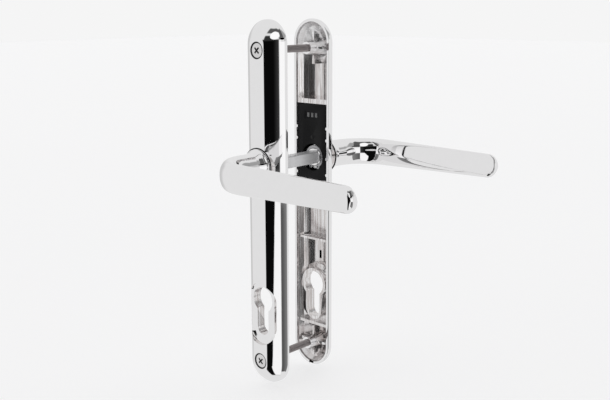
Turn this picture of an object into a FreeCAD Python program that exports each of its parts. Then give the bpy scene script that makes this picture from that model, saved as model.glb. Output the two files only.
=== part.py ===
"""Sprung lever handle set for a multipoint door: two long plates, two levers and what joins them.

The frame: Z is up, X runs along the levers to their tips, and Y runs through the door, from the
inside plate (low Y) to the outside plate (high Y). The origin is on the spindle's axis, halfway
between the backs of the two plates. Sizes are millimetres. Each piece of the outside half is
modelled first, and the inside half is its mirror image in the plane Y = 0, apart from the holes
for the screws. A depth is measured from the back of a plate, outwards.
"""

import FreeCAD, Part
import math
import os
import re

import Sketcher
from FreeCAD import Placement, Rotation, Vector

SIZES = {
    # the pair as it is held together
    "door_gap": (40.0, "between the backs of the two plates"),
    # plate outline, seen from the front
    "plate_width": (32.0, "overall width of a plate"),
    "top_past_screw": (19.5, "top of a plate above the upper screw"),
    "bottom_past_screw": (17.5, "bottom of a plate below the lower screw"),
    # plate section, level
    "plate_depth": (12.0, "back to the flat front face"),
    "face_width": (12.4, "width of the flat front face"),
    "flank_width": (29.8, "width where the sloping sides turn into the edge"),
    "flank_depth": (4.9, "depth there"),
    "flank_bulge": (0.7, "rise of a sloping side over its chord"),
    "edge_bulge": (0.2, "rise of the rounded edge over its chord"),
    "land": (2.4, "upright edge at the back"),
    "wall": (2.0, "casting wall"),
    # lock cylinder cut-out
    "cylinder_drop": (92.0, "spindle axis down to the cylinder's centre"),
    "cylinder_hole": (17.8, "diameter of the round part of the cut-out"),
    "cylinder_slot": (10.4, "width of the leg of the cut-out"),
    "cylinder_height": (34.0, "overall height of the cut-out"),
    "pad_depth": (9.0, "depth of the sunk pad's floor"),
    "pad_width": (24.0, "width of the sunk pad"),
    "pad_length": (19.5, "between the centres of the sunk pad's round ends"),
    "collar_wall": (2.1, "wall of the collar round the cut-out"),
    "collar_set_back": (2.5, "collar's rim in from the back"),
    # fixing screws, their pillars and posts
    "screw_rise": (75.5, "spindle axis up to the upper screw"),
    "screw_spacing": (211.0, "between the two screws"),
    "screw_size": (5.0, "outside diameter of the shank"),
    "screw_length": (58.0, "overall length of a screw"),
    "screw_sunk": (0.5, "rim of the head below the front face"),
    "screw_chamfer": (0.6, "chamfer at the screw's tip"),
    "head_width": (9.4, "diameter of the screw head"),
    "head_rim": (0.35, "straight rim of the head"),
    "head_crown": (0.45, "rise of the raised head over its rim"),
    "cross_width": (1.1, "width of one slot of the cross recess"),
    "cross_length": (5.0, "length of one slot of the cross recess"),
    "cross_deep": (1.7, "depth of the cross recess"),
    "counterbore": (11.2, "diameter of the shallow ring round a screw head"),
    "screw_gap": (0.25, "screw to the inside plate, all round"),
    "thread_gap": (0.1, "screw to the bore of its post, all round"),
    "bore_past": (1.5, "bore of a post past the screw's tip"),
    "post_width": (8.4, "diameter of a post's tip and of a pillar's end"),
    "post_foot": (11.6, "diameter of a post's foot"),
    "post_reach": (5.0, "post's tip beyond the back of its plate"),
    "web": (1.8, "thickness of the webs"),
    "web_length": (11.0, "post's axis to the end of a web"),
    "web_set_back": (2.0, "webs and ribs in from the back"),
    # lever bearing
    "boss_width": (24.2, "diameter of the round boss under the lever"),
    "boss_rise": (0.4, "boss beyond the flat front face"),
    "boss_wall": (1.5, "side wall of the boss"),
    "bush_flange": (23.0, "diameter of the bush's flange"),
    "bush_flange_thick": (0.6, "thickness of the bush's flange"),
    "bush_wall": (1.7, "wall of the bush's sleeve"),
    "bush_gap": (0.1, "bush to the casting, all round"),
    "run_gap": (0.05, "turning piece to its bearing"),
    # lever root
    "spigot_width": (12.4, "diameter of the lever's spigot"),
    "spigot_end": (2.4, "end of the spigot in from the back of the plate"),
    "spigot_flats": (11.0, "across the two flats that drive the hub"),
    "lever_flange": (23.2, "diameter of the lever's flange"),
    "lever_flange_edge": (0.9, "straight edge of the lever's flange"),
    "flare_foot": (21.2, "diameter just above the flange"),
    "flare_rise": (1.6, "height of the short slope above the flange"),
    "flare_hollow": (0.3, "hollow of the long slope above that"),
    "neck_width": (18.8, "diameter of the lever's neck"),
    "neck_level": (21.0, "depth where the flare meets the neck"),
    "neck_lip": (0.1, "neck beyond the end of the turned flare, all round"),
    "neck_sunk": (3.0, "start of the neck down inside the flare"),
    "socket_end": (22.0, "depth of the end of the spindle socket"),
    # lever bend and grip
    "bend_radius": (25.5, "radius of the lever's centre line round the bend"),
    "bend_thick": (12.0, "thickness half way round the bend"),
    "grip_depth": (52.0, "depth of the grip's centre line"),
    "grip_tip": (116.0, "spindle axis to the tip of the grip"),
    "grip_height": (18.6, "height of the grip where it leaves the bend"),
    "grip_end_height": (15.6, "height of the grip at its end"),
    "grip_thick": (10.6, "thickness of the whole oval where it leaves the bend"),
    "grip_end_thick": (9.4, "thickness of the whole oval at its end"),
    "grip_fullness": (2.4, "power of the oval section, 2 for an ellipse"),
    "tip_length": (6.0, "length of the rounded end, seen from the front"),
    "tip_thin": (0.42, "share of the thickness that is left at the very tip"),
    "palm_start": (27.0, "spindle axis to where the flat palm side starts"),
    "palm_end_thick": (2.7, "flat palm side to the centre line, at the tip"),
    "palm_tilt": (7.0, "tilt of the flat palm side, degrees"),
    # spindle
    "spindle_side": (8.0, "side of the square spindle"),
    "spindle_bevel": (0.5, "bevel on the spindle's long edges"),
    "spindle_gap": (0.15, "spindle to its sockets, each side"),
    "spindle_end_gap": (0.5, "spindle to the end of its socket"),
    # cassette behind each lever
    "case_top": (37.2, "top of the cassette above the spindle"),
    "case_bottom": (24.2, "bottom of the cassette below the spindle"),
    "case_gap": (0.3, "cassette to the casting, all round"),
    "case_wall": (1.2, "side wall of the case"),
    "case_skin": (0.8, "front wall of the case"),
    "tower_wall": (0.8, "wall of the round part under the boss"),
    "case_front_gap": (0.4, "front of the case to the floor of the plate's hollow"),
    "cover_set_back": (1.0, "cover's face in from the back of the plate"),
    "cover_thick": (1.6, "thickness of the cover"),
    "cover_hole": (19.0, "hole in the cover round the spindle"),
    "panel_rise": (27.0, "spindle axis up to the plain sunk panel"),
    "panel_width": (14.0, "width of that panel"),
    "panel_height": (5.0, "height of that panel"),
    "panel_deep": (0.3, "depth of that panel"),
    "pin_width": (2.4, "diameter of the pin that holds the cover"),
    "pin_rise": (14.2, "spindle axis up to that pin"),
    "pin_length": (6.0, "length of that pin"),
    "pin_gap": (0.05, "pin to its holes, all round"),
    "pin_proud": (0.2, "pin beyond the cover's face"),
    "pin_boss": (4.8, "diameter of the pin's boss in the case"),
    # washer, clip and hub on the lever's spigot
    "hub_wall": (0.8, "hub's barrel beyond the spigot, all round"),
    "arm_thick": (0.6, "thickness of the hub's arm"),
    "finger_width": (3.2, "width of the finger that winds the spring"),
    "finger_thick": (0.6, "thickness of that finger along a radius"),
    "washer_width": (16.2, "diameter of the thrust washer"),
    "washer_thick": (0.5, "thickness of the thrust washer"),
    "clip_width": (16.0, "outside diameter of the retaining clip"),
    "clip_thick": (0.9, "thickness of the retaining clip"),
    "clip_in": (0.7, "clip in from the end of the spigot"),
    "clip_groove": (0.3, "depth of the clip's groove"),
    "clip_gap": (0.05, "clip to its groove, all round"),
    "clip_opening": (52.0, "opening of the clip, degrees"),
    "clip_lug": (3.0, "diameter of the clip's two lugs"),
    "clip_eye": (1.3, "diameter of the holes in those lugs"),
    # torsion spring and what it works between
    "spring_wire": (0.8, "wire of the torsion spring"),
    "spring_pitch": (1.3, "advance of the coil in one turn"),
    "spring_gap": (0.2, "coil to the hub and to the finger"),
    "spring_end_gap": (0.1, "coil to the hub's arm"),
    "spring_bend": (1.0, "radius of the bend between coil and leg"),
    "leg_gap": (0.1, "spring's legs to the finger and the lug"),
    "leg_end_gap": (0.3, "end of a leg below the top of the lug"),
    "lug_gap": (0.15, "finger to the lug that holds the spring's legs"),
    "lug_height": (2.2, "height of that lug"),
    "stop_angle": (47.0, "turn at which the finger meets its end stop, degrees"),
    "stop_width": (1.6, "width of an end stop"),
    # cast details behind the plate
    "rib": (3.2, "thickness of the cross rib above the cassette"),
    "rib_set_back": (0.8, "that rib in from the back"),
    "pip_width": (2.2, "diameter of the pips that hold the cover"),
    "pip_set_back": (0.2, "pips in from the back of the plate"),
    "patch_top": (34.5, "spindle axis down to the thick patch"),
    "patch_width": (20.0, "width of the thick patch"),
    "patch_depth": (8.0, "depth of the thick patch's floor"),
    "ledge_drop": (58.0, "spindle axis down to the low ledge"),
    "ledge": (1.6, "thickness of the low ledge"),
    "mark_drop": (69.0, "spindle axis down to the small slot in the floor"),
    "mark_height": (6.0, "height of that slot"),
    "mark_width": (2.0, "width of that slot"),
    "mark_deep": (0.6, "depth of that slot"),
    "low_rib_drop": (121.0, "spindle axis down to the lower cross rib"),
    "notch_width": (4.0, "width of the notch in the lower rim"),
    "notch_deep": (1.2, "depth of that notch"),
}

# levels and half widths that follow from the sizes
PLACES = {
    "back": "door_gap / 2",
    "open_back": "back - 1",
    "edge": "plate_width / 2",
    "edge_in": "edge - wall",
    "face_half": "face_width / 2",
    "face_half_in": "face_half - wall * 0.45",
    "flank_half": "flank_width / 2",
    "flank_half_in": "flank_half - wall * 0.8",
    "land_level": "back + land",
    "land_level_in": "land_level - wall * 0.5",
    "flank_level": "back + flank_depth",
    "flank_level_in": "flank_level - wall * 0.6",
    "face_level": "back + plate_depth",
    "face_level_in": "face_level - wall",
    "flank_chord": "sqrt((flank_half - face_half)^2 + (face_level - flank_level)^2)",
    "flank_radius": "(flank_chord^2 / 4 + flank_bulge^2) / (2 * flank_bulge)",
    "edge_chord": "sqrt((edge - flank_half)^2 + (flank_level - land_level)^2)",
    "edge_radius": "(edge_chord^2 / 4 + edge_bulge^2) / (2 * edge_bulge)",
    "plate_top": "screw_rise + top_past_screw",
    "plate_bottom": "screw_spacing - screw_rise + bottom_past_screw",
    "top_centre": "plate_top - edge",
    "low_centre": "edge - plate_bottom",
    "screw_low": "screw_rise - screw_spacing",
    "head_level": "screw_sunk - face_level",
    "crown_level": "head_level - head_crown",
    "rim_level": "head_level + head_rim",
    "head_half": "head_width / 2",
    "screw_half": "screw_size / 2",
    "shank_level": "rim_level + head_half - screw_half",
    "screw_tip": "head_level + screw_length",
    "chamfer_half": "screw_half - screw_chamfer",
    "chamfer_level": "screw_tip - screw_chamfer",
    "crown_radius": "(head_half^2 + head_crown^2) / (2 * head_crown)",
    "crown_bulge": "crown_radius - sqrt(crown_radius^2 - (head_half^2 + head_crown^2) / 4)",
    "boss_level": "face_level + boss_rise",
    "boss_half": "boss_width / 2",
    "pocket_half": "boss_half - boss_wall",
    "pocket_level": "boss_level - wall",
    "spigot_half": "spigot_width / 2",
    "bush_bore": "spigot_half + run_gap",
    "bush_half": "bush_bore + bush_wall",
    "bush_hole": "bush_half + bush_gap",
    "bush_flange_half": "bush_flange / 2",
    "bush_top": "boss_level + bush_flange_thick",
    "spigot_level": "back + spigot_end",
    "flange_level": "bush_top + run_gap",
    "flange_half": "lever_flange / 2",
    "flange_top": "flange_level + lever_flange_edge",
    "flare_half": "flare_foot / 2",
    "flare_level": "flange_top + flare_rise",
    "neck_half": "neck_width / 2",
    "neck_start": "back + neck_level",
    "flare_chord": "sqrt((flare_half - neck_half)^2 + (neck_start - flare_level)^2)",
    "flare_radius": "(flare_chord^2 / 4 + flare_hollow^2) / (2 * flare_hollow)",
    "case_flank_half": "flank_half_in - case_gap",
    "case_flank_level": "flank_level_in - case_gap / 2",
    "case_face_half": "face_half_in - case_gap / 2",
    "case_front": "face_level_in - case_front_gap",
    "case_back": "back + cover_set_back + cover_thick",
    "case_flank_half_in": "case_flank_half - case_wall",
    "case_face_half_in": "case_face_half - case_wall * 0.6",
    "case_front_in": "case_front - case_skin",
    "tower_half": "pocket_half - case_gap",
    "tower_half_in": "tower_half - tower_wall",
    "tower_front": "pocket_level - case_gap",
    "clip_level": "spigot_level + clip_in",
    "washer_level": "clip_level + clip_thick + clip_gap",
    "hub_level": "washer_level + washer_thick + run_gap",
    "hub_half": "spigot_half + hub_wall",
    "coil_radius": "hub_half + spring_gap + spring_wire / 2",
    "coil_level": "hub_level + arm_thick + spring_end_gap + spring_wire / 2",
    "finger_in": "coil_radius + spring_wire / 2 + spring_gap",
    "finger_out": "finger_in + finger_thick",
    "lug_in": "sqrt(finger_out^2 + finger_width^2 / 4) + lug_gap",
    "leg_offset": "finger_width / 2 + leg_gap + spring_wire / 2",
    "leg_end": "lug_in + lug_height - leg_end_gap",
    "stop_in": "finger_in + spring_gap",
    "stop_out": "sqrt(tower_half^2 - (finger_width / 2 + stop_width)^2)",
}

doc = FreeCAD.newDocument("handle_set")
sheet = doc.addObject("Spreadsheet::Sheet", "Sizes")
for row, (name, (number, meaning)) in enumerate(SIZES.items(), start=1):
    sheet.set(f"A{row}", str(number))
    sheet.setAlias(f"A{row}", name)
    sheet.set(f"B{row}", meaning)


def on_sheet(text):
    """The expression with each size and place led by the name of its sheet."""

    def led(match):
        word = match.group(0)
        if word in SIZES:
            return "Sizes." + word
        if word in PLACES:
            return "Places." + word
        return word

    return re.sub(r"[a-z_]+", led, text)


places = doc.addObject("Spreadsheet::Sheet", "Places")
for row, name in enumerate(PLACES, start=1):
    places.setAlias(f"A{row}", name)
for row, formula in enumerate(PLACES.values(), start=1):
    places.set(f"A{row}", "=" + on_sheet(formula).replace("Places.", ""))
doc.recompute()


def value(name):
    """The number behind a size or a place, or behind its negative."""
    if name.startswith("-"):
        return -value(name[1:])
    source = sheet if name in SIZES else places
    return float(source.get(name))


def bind(target, **expressions):
    """Bind properties of an object. Two underscores in a key stand for a dot."""
    for key, text in expressions.items():
        target.setExpression(key.replace("__", "."), on_sheet(text))


def put(target, x="0", y="0", z="0", rotation=None):
    """Bind an object's place, after turning it by a fixed rotation."""
    if rotation is not None:
        target.Placement = Placement(Vector(), rotation)
    bind(target, Placement__Base__x=x, Placement__Base__y=y, Placement__Base__z=z)
    return target


ALONG_Y = Rotation(Vector(1, 0, 0), -90)


def rod(name, width, length, y, x="0", z="0"):
    """A cylinder of the given diameter, whose axis runs outwards along Y from a point."""
    piece = doc.addObject("Part::Cylinder", name)
    bind(piece, Radius=f"({width}) / 2", Height=length)
    return put(piece, x, y, z, ALONG_Y)


def cone(name, near, far, length, y, z="0"):
    """A cone along Y, from the near diameter to the far one."""
    piece = doc.addObject("Part::Cone", name)
    bind(piece, Radius1=f"({near}) / 2", Radius2=f"({far}) / 2", Height=length)
    return put(piece, "0", y, z, ALONG_Y)


def block(name, wide, deep, tall, y, z, x=None):
    """A box from its low corner. It lies evenly about X = 0 unless x is given."""
    piece = doc.addObject("Part::Box", name)
    bind(piece, Length=wide, Width=deep, Height=tall)
    return put(piece, x or f"-({wide}) / 2", y, z)


def joined(name, pieces):
    """One solid from several that overlap or touch."""
    whole = doc.addObject("Part::MultiFuse", name)
    whole.Shapes = pieces
    whole.Refine = True
    return whole


def without(name, base, tool):
    """The base with the tool cut away."""
    rest = doc.addObject("Part::Cut", name)
    rest.Base = base
    rest.Tool = tool
    rest.Refine = True
    return rest


def shared(name, first, second):
    """What two solids have in common."""
    both = doc.addObject("Part::MultiCommon", name)
    both.Shapes = [first, second]
    return both


def mirrored(name, source):
    """The mirror image on the other side of the door."""
    image = doc.addObject("Part::Mirroring", name)
    image.Source = source
    image.Base = Vector(0, 0, 0)
    image.Normal = Vector(0, 1, 0)
    return image


def shaped(name, shape):
    """A piece whose shape is worked out from the sheets' values."""
    piece = doc.addObject("Part::Feature", name)
    piece.Shape = shape
    return piece


def corner_at(sketch, side, point):
    """Which end of a side lies on a point: 1 for its start, 2 for its end."""
    start = sketch.getPoint(side, 1)
    end = sketch.getPoint(side, 2)
    return 1 if start.distanceToPoint(point) < end.distanceToPoint(point) else 2


def outline(body, name, corners, arcs=None, level=None):
    """A closed sketch on the body's level plane, with its corners bound to named places.

    Each corner is a pair of names. A side named in arcs by the number of its first corner is an
    arc, and its pair gives the arc's radius and its rise over its chord, outwards if positive.
    """
    arcs = arcs or {}
    sketch = body.newObject("Sketcher::SketchObject", name)
    plane = [part for part in body.Origin.OriginFeatures if part.Role == "XY_Plane"][0]
    sketch.AttachmentSupport = [(plane, "")]
    sketch.MapMode = "FlatFace"
    if level:
        bind(sketch, AttachmentOffset__Base__z=level)
    numbers = [[0.0 if name == "0" else value(name) for name in corner] for corner in corners]
    points = [Vector(x, y, 0) for x, y in numbers]
    count = len(points)
    for side, start in enumerate(points):
        end = points[(side + 1) % count]
        if side not in arcs:
            sketch.addGeometry(Part.LineSegment(start, end), False)
            continue
        chord = end - start
        outward = Vector(chord.y, -chord.x, 0).normalize()
        middle = (start + end) * 0.5 + outward * value(arcs[side][1])
        sketch.addGeometry(Part.Arc(start, middle, end), False)
    for side in range(count):
        after = (side + 1) % count
        last = corner_at(sketch, side, points[after])
        first = corner_at(sketch, after, points[after])
        sketch.addConstraint(Sketcher.Constraint("Coincident", side, last, after, first))
    for side, corner in enumerate(corners):
        end = corner_at(sketch, side, points[side])
        for kind, axis, name in (("DistanceX", -2, corner[0]), ("DistanceY", -1, corner[1])):
            if name == "0":
                sketch.addConstraint(Sketcher.Constraint("PointOnObject", side, end, axis))
                continue
            rule = Sketcher.Constraint(kind, -1, 1, side, end, value(name))
            number = sketch.addConstraint(rule)
            bind(sketch, **{f"Constraints[{number}]": name})
    for side, (radius, rise) in arcs.items():
        number = sketch.addConstraint(Sketcher.Constraint("Radius", side, value(radius)))
        bind(sketch, **{f"Constraints[{number}]": radius})
    return sketch


def revolve(body, sketch, name, degrees, backwards=False):
    """Turn a sketch about its upright axis, which is the frame's Y."""
    turn = body.newObject("PartDesign::Revolution", name)
    turn.Profile = sketch
    turn.ReferenceAxis = (sketch, ["V_Axis"])
    turn.Angle = degrees
    turn.Reversed = backwards
    return turn


def turned(name, corners, arcs=None, z="0"):
    """A turned piece from its half section: each corner is a radius and a level."""
    body = doc.addObject("PartDesign::Body", name)
    sketch = outline(body, name + "_section", corners, arcs)
    revolve(body, sketch, name + "_turn", 360)
    return put(body, z=z)


def bar(name, corners, bottom, height, arcs=None):
    """An upright bar from its level section."""
    body = doc.addObject("PartDesign::Body", name)
    sketch = outline(body, name + "_section", corners, arcs, bottom)
    pad = body.newObject("PartDesign::Pad", name + "_pad")
    pad.Profile = sketch
    bind(pad, Length=height)
    return body


def stadium_bar(name, half_section, half_arcs, section, arcs):
    """A bar with a domed end above and below: the half section turned about each end's centre."""
    body = bar(name, section, "low_centre", "top_centre - low_centre", arcs)
    for end, backwards in (("top", True), ("low", False)):
        sketch = outline(body, f"{name}_{end}", half_section, half_arcs, end + "_centre")
        revolve(body, sketch, f"{name}_{end}_dome", 180, backwards)
    return body


def both_sides(half_section):
    """The whole section from a half section that starts and ends on the middle."""
    right = half_section[1:-1]
    left = [("-" + x, y) for x, y in reversed(right)]
    return right + left


def beveled_bar(name, side, bevel, start, length):
    """A square bar along Y with its four long edges beveled."""
    square = block(name + "_square", side, length, side, start, f"-({side}) / 2")
    across = f"(({side}) - ({bevel})) * sqrt(2)"
    diamond = doc.addObject("Part::Box", name + "_diamond")
    bind(diamond, Length=across, Width=length, Height=across)
    put(diamond, f"({bevel}) - ({side})", start, "0", Rotation(Vector(0, 1, 0), 45))
    return shared(name, square, diamond)


# The plate casting, as both sides have it

outer_half = [
    ("0", "back"),
    ("edge", "back"),
    ("edge", "land_level"),
    ("flank_half", "flank_level"),
    ("face_half", "face_level"),
    ("0", "face_level"),
]
edge_arc = ("edge_radius", "edge_bulge")
flank_arc = ("flank_radius", "flank_bulge")
plate_solid = stadium_bar(
    "plate_solid",
    outer_half,
    {2: edge_arc, 3: flank_arc},
    both_sides(outer_half),
    {1: edge_arc, 2: flank_arc, 4: flank_arc, 5: edge_arc},
)
inner_half = [
    ("0", "open_back"),
    ("edge_in", "open_back"),
    ("edge_in", "land_level_in"),
    ("flank_half_in", "flank_level_in"),
    ("face_half_in", "face_level_in"),
    ("0", "face_level_in"),
]
plate_hollow = stadium_bar("plate_hollow", inner_half, {}, both_sides(inner_half), {})


def euro_bar(name, growth, start, length):
    """The shape of a profile cylinder along Y: a round top and a narrower leg with a round foot."""
    slot = f"cylinder_slot + 2 * {growth}"
    foot = "-cylinder_drop + (cylinder_hole + cylinder_slot) / 2 - cylinder_height"
    barrel = rod(name + "_barrel", f"cylinder_hole + 2 * {growth}", length, start, z="-cylinder_drop")
    leg = block(name + "_leg", slot, length, f"-cylinder_drop - ({foot})", start, foot)
    end = rod(name + "_end", slot, length, start, z=foot)
    return joined(name, [barrel, leg, end])


def pad_bar(name, growth, start, length):
    """The stadium of the sunk pad, along Y."""
    width = f"pad_width + 2 * {growth}"
    ends = [
        rod(f"{name}_end_{number}", width, length, start, z=z)
        for number, z in enumerate(("-cylinder_drop", "-cylinder_drop - pad_length"))
    ]
    middle = block(name + "_middle", width, length, "pad_length", start, "-cylinder_drop - pad_length")
    return joined(name, ends + [middle])


def rib_across(name, set_back, tall, z):
    """A level rib across the hollow of the plate."""
    start = f"back + {set_back}"
    return block(name, "plate_width", f"face_level - ({start})", tall, start, z)


boss = rod("boss", "boss_width", "boss_level - land_level", "land_level")
outside_form = joined("outside_form", [plate_solid, boss])
boss_pocket = rod("boss_pocket", "2 * pocket_half", "pocket_level - open_back", "open_back")
hollow = joined("hollow", [plate_hollow, boss_pocket])
shell = without("shell", outside_form, hollow)

upper_rib = rib_across("upper_rib", "rib_set_back", "rib", "case_top + case_gap")
under_case_rib = rib_across(
    "under_case_rib", "rib_set_back", "wall", "-(case_bottom + case_gap + wall)"
)
low_ledge = rib_across("low_ledge", "web_set_back", "ledge", "-(ledge_drop + ledge)")
low_rib = rib_across("low_rib", "web_set_back", "wall", "-(low_rib_drop + wall)")
patch = block(
    "patch",
    "patch_width",
    "plate_depth - patch_depth",
    "ledge_drop - patch_top",
    "back + patch_depth",
    "-ledge_drop",
)
pad_back = pad_bar("pad_back", "wall", "back + pad_depth - wall", "plate_depth - pad_depth + wall")
collar = euro_bar("collar", "collar_wall", "back + collar_set_back", "pad_depth - collar_set_back")
webs = []
for end, z in (("upper", "screw_rise"), ("lower", "screw_low")):
    start = "back + web_set_back"
    deep = "plate_depth - web_set_back"
    webs.append(block(end + "_web_level", "2 * web_length", deep, "web", start, f"{z} - web / 2"))
    webs.append(
        block(end + "_web_upright", "web", deep, "2 * web_length", start, f"{z} - web_length")
    )
pips = []
for number, z in enumerate(("21", "12.8", "0", "-11.3")):
    for side in ("-edge_in", "edge_in"):
        length = "cover_set_back - pip_set_back - run_gap"
        start = "back + pip_set_back"
        pips.append(rod(f"pip_{len(pips)}", "pip_width", length, start, side, z))
inner_details = joined(
    "inner_details",
    [upper_rib, under_case_rib, low_ledge, low_rib, patch, pad_back, collar] + webs + pips,
)
details = shared("details", outside_form, inner_details)
casting = joined("casting", [shell, details])

pad_pocket = pad_bar("pad_pocket", "0", "back + pad_depth", "plate_depth")
cylinder_cut = euro_bar("cylinder_cut", "0", "open_back", "plate_depth + 2")
bush_cut = rod("bush_cut", "2 * bush_hole", "plate_depth + 2", "open_back")
floor_mark = block(
    "floor_mark",
    "mark_width",
    "mark_deep + 1",
    "mark_height",
    "face_level_in - 1",
    "-(mark_drop + mark_height)",
)
rim_notch = block("rim_notch", "notch_width", "notch_deep + 1", "wall + 2", "open_back", "-plate_bottom - 1")
cuts = joined("cuts", [pad_pocket, cylinder_cut, bush_cut, floor_mark, rim_notch])


# The two plates: pillars with screw holes inside, threaded posts outside

def at_screws(make):
    """One piece at each screw, from a function of the screw's number and its height."""
    return [make(number, z) for number, z in enumerate(("screw_rise", "screw_low"))]


def pillar(number, z):
    """The tube that the inside plate has round a screw, flush with the plate's back."""
    return cone(f"pillar_{number}", "post_width + 2 * screw_gap", "post_foot", "plate_depth - wall / 2", "back", z)


def screw_hole(number, z):
    """A clear hole, a countersink and a shallow ring for the head."""
    seat = "face_level - screw_sunk - head_rim"
    clear = "screw_size + 2 * screw_gap"
    sunk = "head_width + 2 * screw_gap"
    slope = "(head_width - screw_size) / 2"
    return joined(
        f"screw_hole_{number}",
        [
            rod(f"clear_{number}", clear, "plate_depth", "back - 1", z=z),
            cone(f"sink_{number}", clear, sunk, slope, f"{seat} - {slope}", z),
            rod(f"rim_{number}", sunk, "head_rim + 1", seat, z=z),
            rod(f"ring_{number}", "counterbore", "screw_sunk + 1", "face_level - screw_sunk", z=z),
        ],
    )


def post(number, z):
    """The post that a screw threads into, which reaches into the door."""
    length = "post_reach + plate_depth - wall / 2"
    return cone(f"post_{number}", "post_width", "post_foot", length, "back - post_reach", z)


def post_bore(number, z):
    """The blind bore of a post."""
    length = "screw_tip + bore_past - (back - post_reach) + 1"
    width = "screw_size + 2 * thread_gap"
    return rod(f"post_bore_{number}", width, length, "back - post_reach - 1", z=z)


inside_casting = joined("inside_casting", [casting] + at_screws(pillar))
inside_cuts = joined("inside_cuts", [cuts] + at_screws(screw_hole))
inside_plate = mirrored("inside_plate", without("inside_casting_cut", inside_casting, inside_cuts))
outside_casting = joined("outside_casting", [casting] + at_screws(post))
outside_cuts = joined("outside_cuts", [cuts] + at_screws(post_bore))
outside_plate = without("outside_plate", outside_casting, outside_cuts)


# The two fixing screws, in the direction they are driven

screw_section = [
    ("0", "crown_level"),
    ("head_half", "head_level"),
    ("head_half", "rim_level"),
    ("screw_half", "shank_level"),
    ("screw_half", "chamfer_level"),
    ("chamfer_half", "screw_tip"),
    ("0", "screw_tip"),
]


def screw(number, z):
    """A raised countersunk machine screw with a cross recess."""
    blank = turned(f"screw_blank_{number}", screw_section, {0: ("crown_radius", "crown_bulge")}, z)
    level = "crown_level - 1"
    deep = "cross_deep + 1"
    slots = [
        block(f"slot_level_{number}", "cross_length", deep, "cross_width", level, f"{z} - cross_width / 2"),
        block(f"slot_upright_{number}", "cross_width", deep, "cross_length", level, f"{z} - cross_length / 2"),
    ]
    return without(f"screw_{number}", blank, joined(f"cross_{number}", slots))


fixing_screws = doc.addObject("Part::Compound", "fixing_screws")
fixing_screws.Links = at_screws(screw)


# The lever: a turned root, and a bend and grip lofted along one path

root_section = [
    ("0", "spigot_level"),
    ("spigot_half", "spigot_level"),
    ("spigot_half", "flange_level"),
    ("flange_half", "flange_level"),
    ("flange_half", "flange_top"),
    ("flare_half", "flare_level"),
    ("neck_half", "neck_start"),
    ("0", "neck_start"),
]
lever_root = turned(
    "lever_root",
    root_section,
    {5: ("flare_radius", "-flare_hollow")},
)


def oval(centre, heading, height, thick, fullness):
    """A closed smooth section square to a heading in the level plane, tall along Z."""
    side = Vector(-heading.y, heading.x, 0)
    points = []
    for degrees in range(0, 360, 30):
        angle = math.radians(degrees)
        across = math.copysign(abs(math.cos(angle)) ** (2 / fullness), math.cos(angle))
        up = math.copysign(abs(math.sin(angle)) ** (2 / fullness), math.sin(angle))
        points.append(centre + side * (across * thick / 2) + Vector(0, 0, up * height / 2))
    even = [number / len(points) for number in range(len(points) + 1)]
    curve = Part.BSplineCurve()
    curve.interpolate(Points=points, PeriodicFlag=True, Parameters=even)
    return Part.Wire(curve.toShape())


def between(first, last, share):
    """A value that goes evenly from the first to the last."""
    return first + (last - first) * share


def bend_shape():
    """The neck and the quarter bend, through ovals along a straight and a quarter circle."""
    radius = value("bend_radius")
    neck = value("neck_width") + 2 * value("neck_lip")
    neck_foot = value("neck_start") - value("neck_sunk")
    bend_start = value("back") + value("grip_depth") - radius
    sections = []
    for share in (0.0, 0.5):
        centre = Vector(0, between(neck_foot, bend_start, share), 0)
        sections.append(oval(centre, Vector(0, 1, 0), neck, neck, 2.0))
    for degrees in range(0, 91, 15):
        share = degrees / 90
        turn = math.radians(degrees)
        centre = Vector(radius * (1 - math.cos(turn)), bend_start + radius * math.sin(turn), 0)
        heading = Vector(math.sin(turn), math.cos(turn), 0)
        if share <= 0.5:
            ease = (1 - math.cos(math.pi * 2 * share)) / 2
            thick = between(neck, value("bend_thick"), ease)
        else:
            thick = between(value("bend_thick"), value("grip_thick"), 2 * share - 1)
        height = between(neck, value("grip_height"), share)
        fullness = between(2.0, value("grip_fullness"), share)
        sections.append(oval(centre, heading, height, thick, fullness))
    return Part.makeLoft(sections, True, False)


def grip_shape():
    """The straight grip and its rounded tip, whose outline is a quarter of an ellipse."""
    depth = value("back") + value("grip_depth")
    fullness = value("grip_fullness")
    height = value("grip_end_height")
    thick = value("grip_end_thick")
    length = value("tip_length")
    along = Vector(1, 0, 0)
    tip_start = Vector(value("grip_tip") - length, depth, 0)
    start = Vector(value("bend_radius"), depth, 0)
    first = oval(start, along, value("grip_height"), value("grip_thick"), fullness)
    last = oval(tip_start, along, height, thick, fullness)
    tip = [last]
    for degrees in (30, 56, 74, 84):
        turn = math.radians(degrees)
        centre = tip_start + along * (length * math.sin(turn))
        thin = between(1.0, value("tip_thin"), (1 - math.cos(turn)) ** 1.5)
        tip.append(oval(centre, along, height * math.cos(turn), thick * thin, fullness))
    grip = Part.makeLoft([first, last], True, True)
    return grip.fuse(Part.makeLoft(tip, True, False))


def palm_cut_shape():
    """What is cut off the grip's side towards the door, which leaves a long flat."""
    depth = value("back") + value("grip_depth")
    start = Vector(value("palm_start"), depth - value("grip_thick") / 2, 0)
    end = Vector(value("grip_tip"), depth - value("palm_end_thick"), 0)
    slope = math.degrees(math.atan2(end.y - start.y, end.x - start.x))
    length = value("grip_tip")
    deep = value("grip_depth") / 2
    tall = 3 * value("grip_height")
    cutter = Part.makeBox(length, deep, tall, Vector(0, -deep, -tall / 2))
    tilt = Rotation(Vector(1, 0, 0), -value("palm_tilt"))
    cutter.Placement = Placement(start, Rotation(Vector(0, 0, 1), slope).multiply(tilt))
    return cutter


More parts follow.
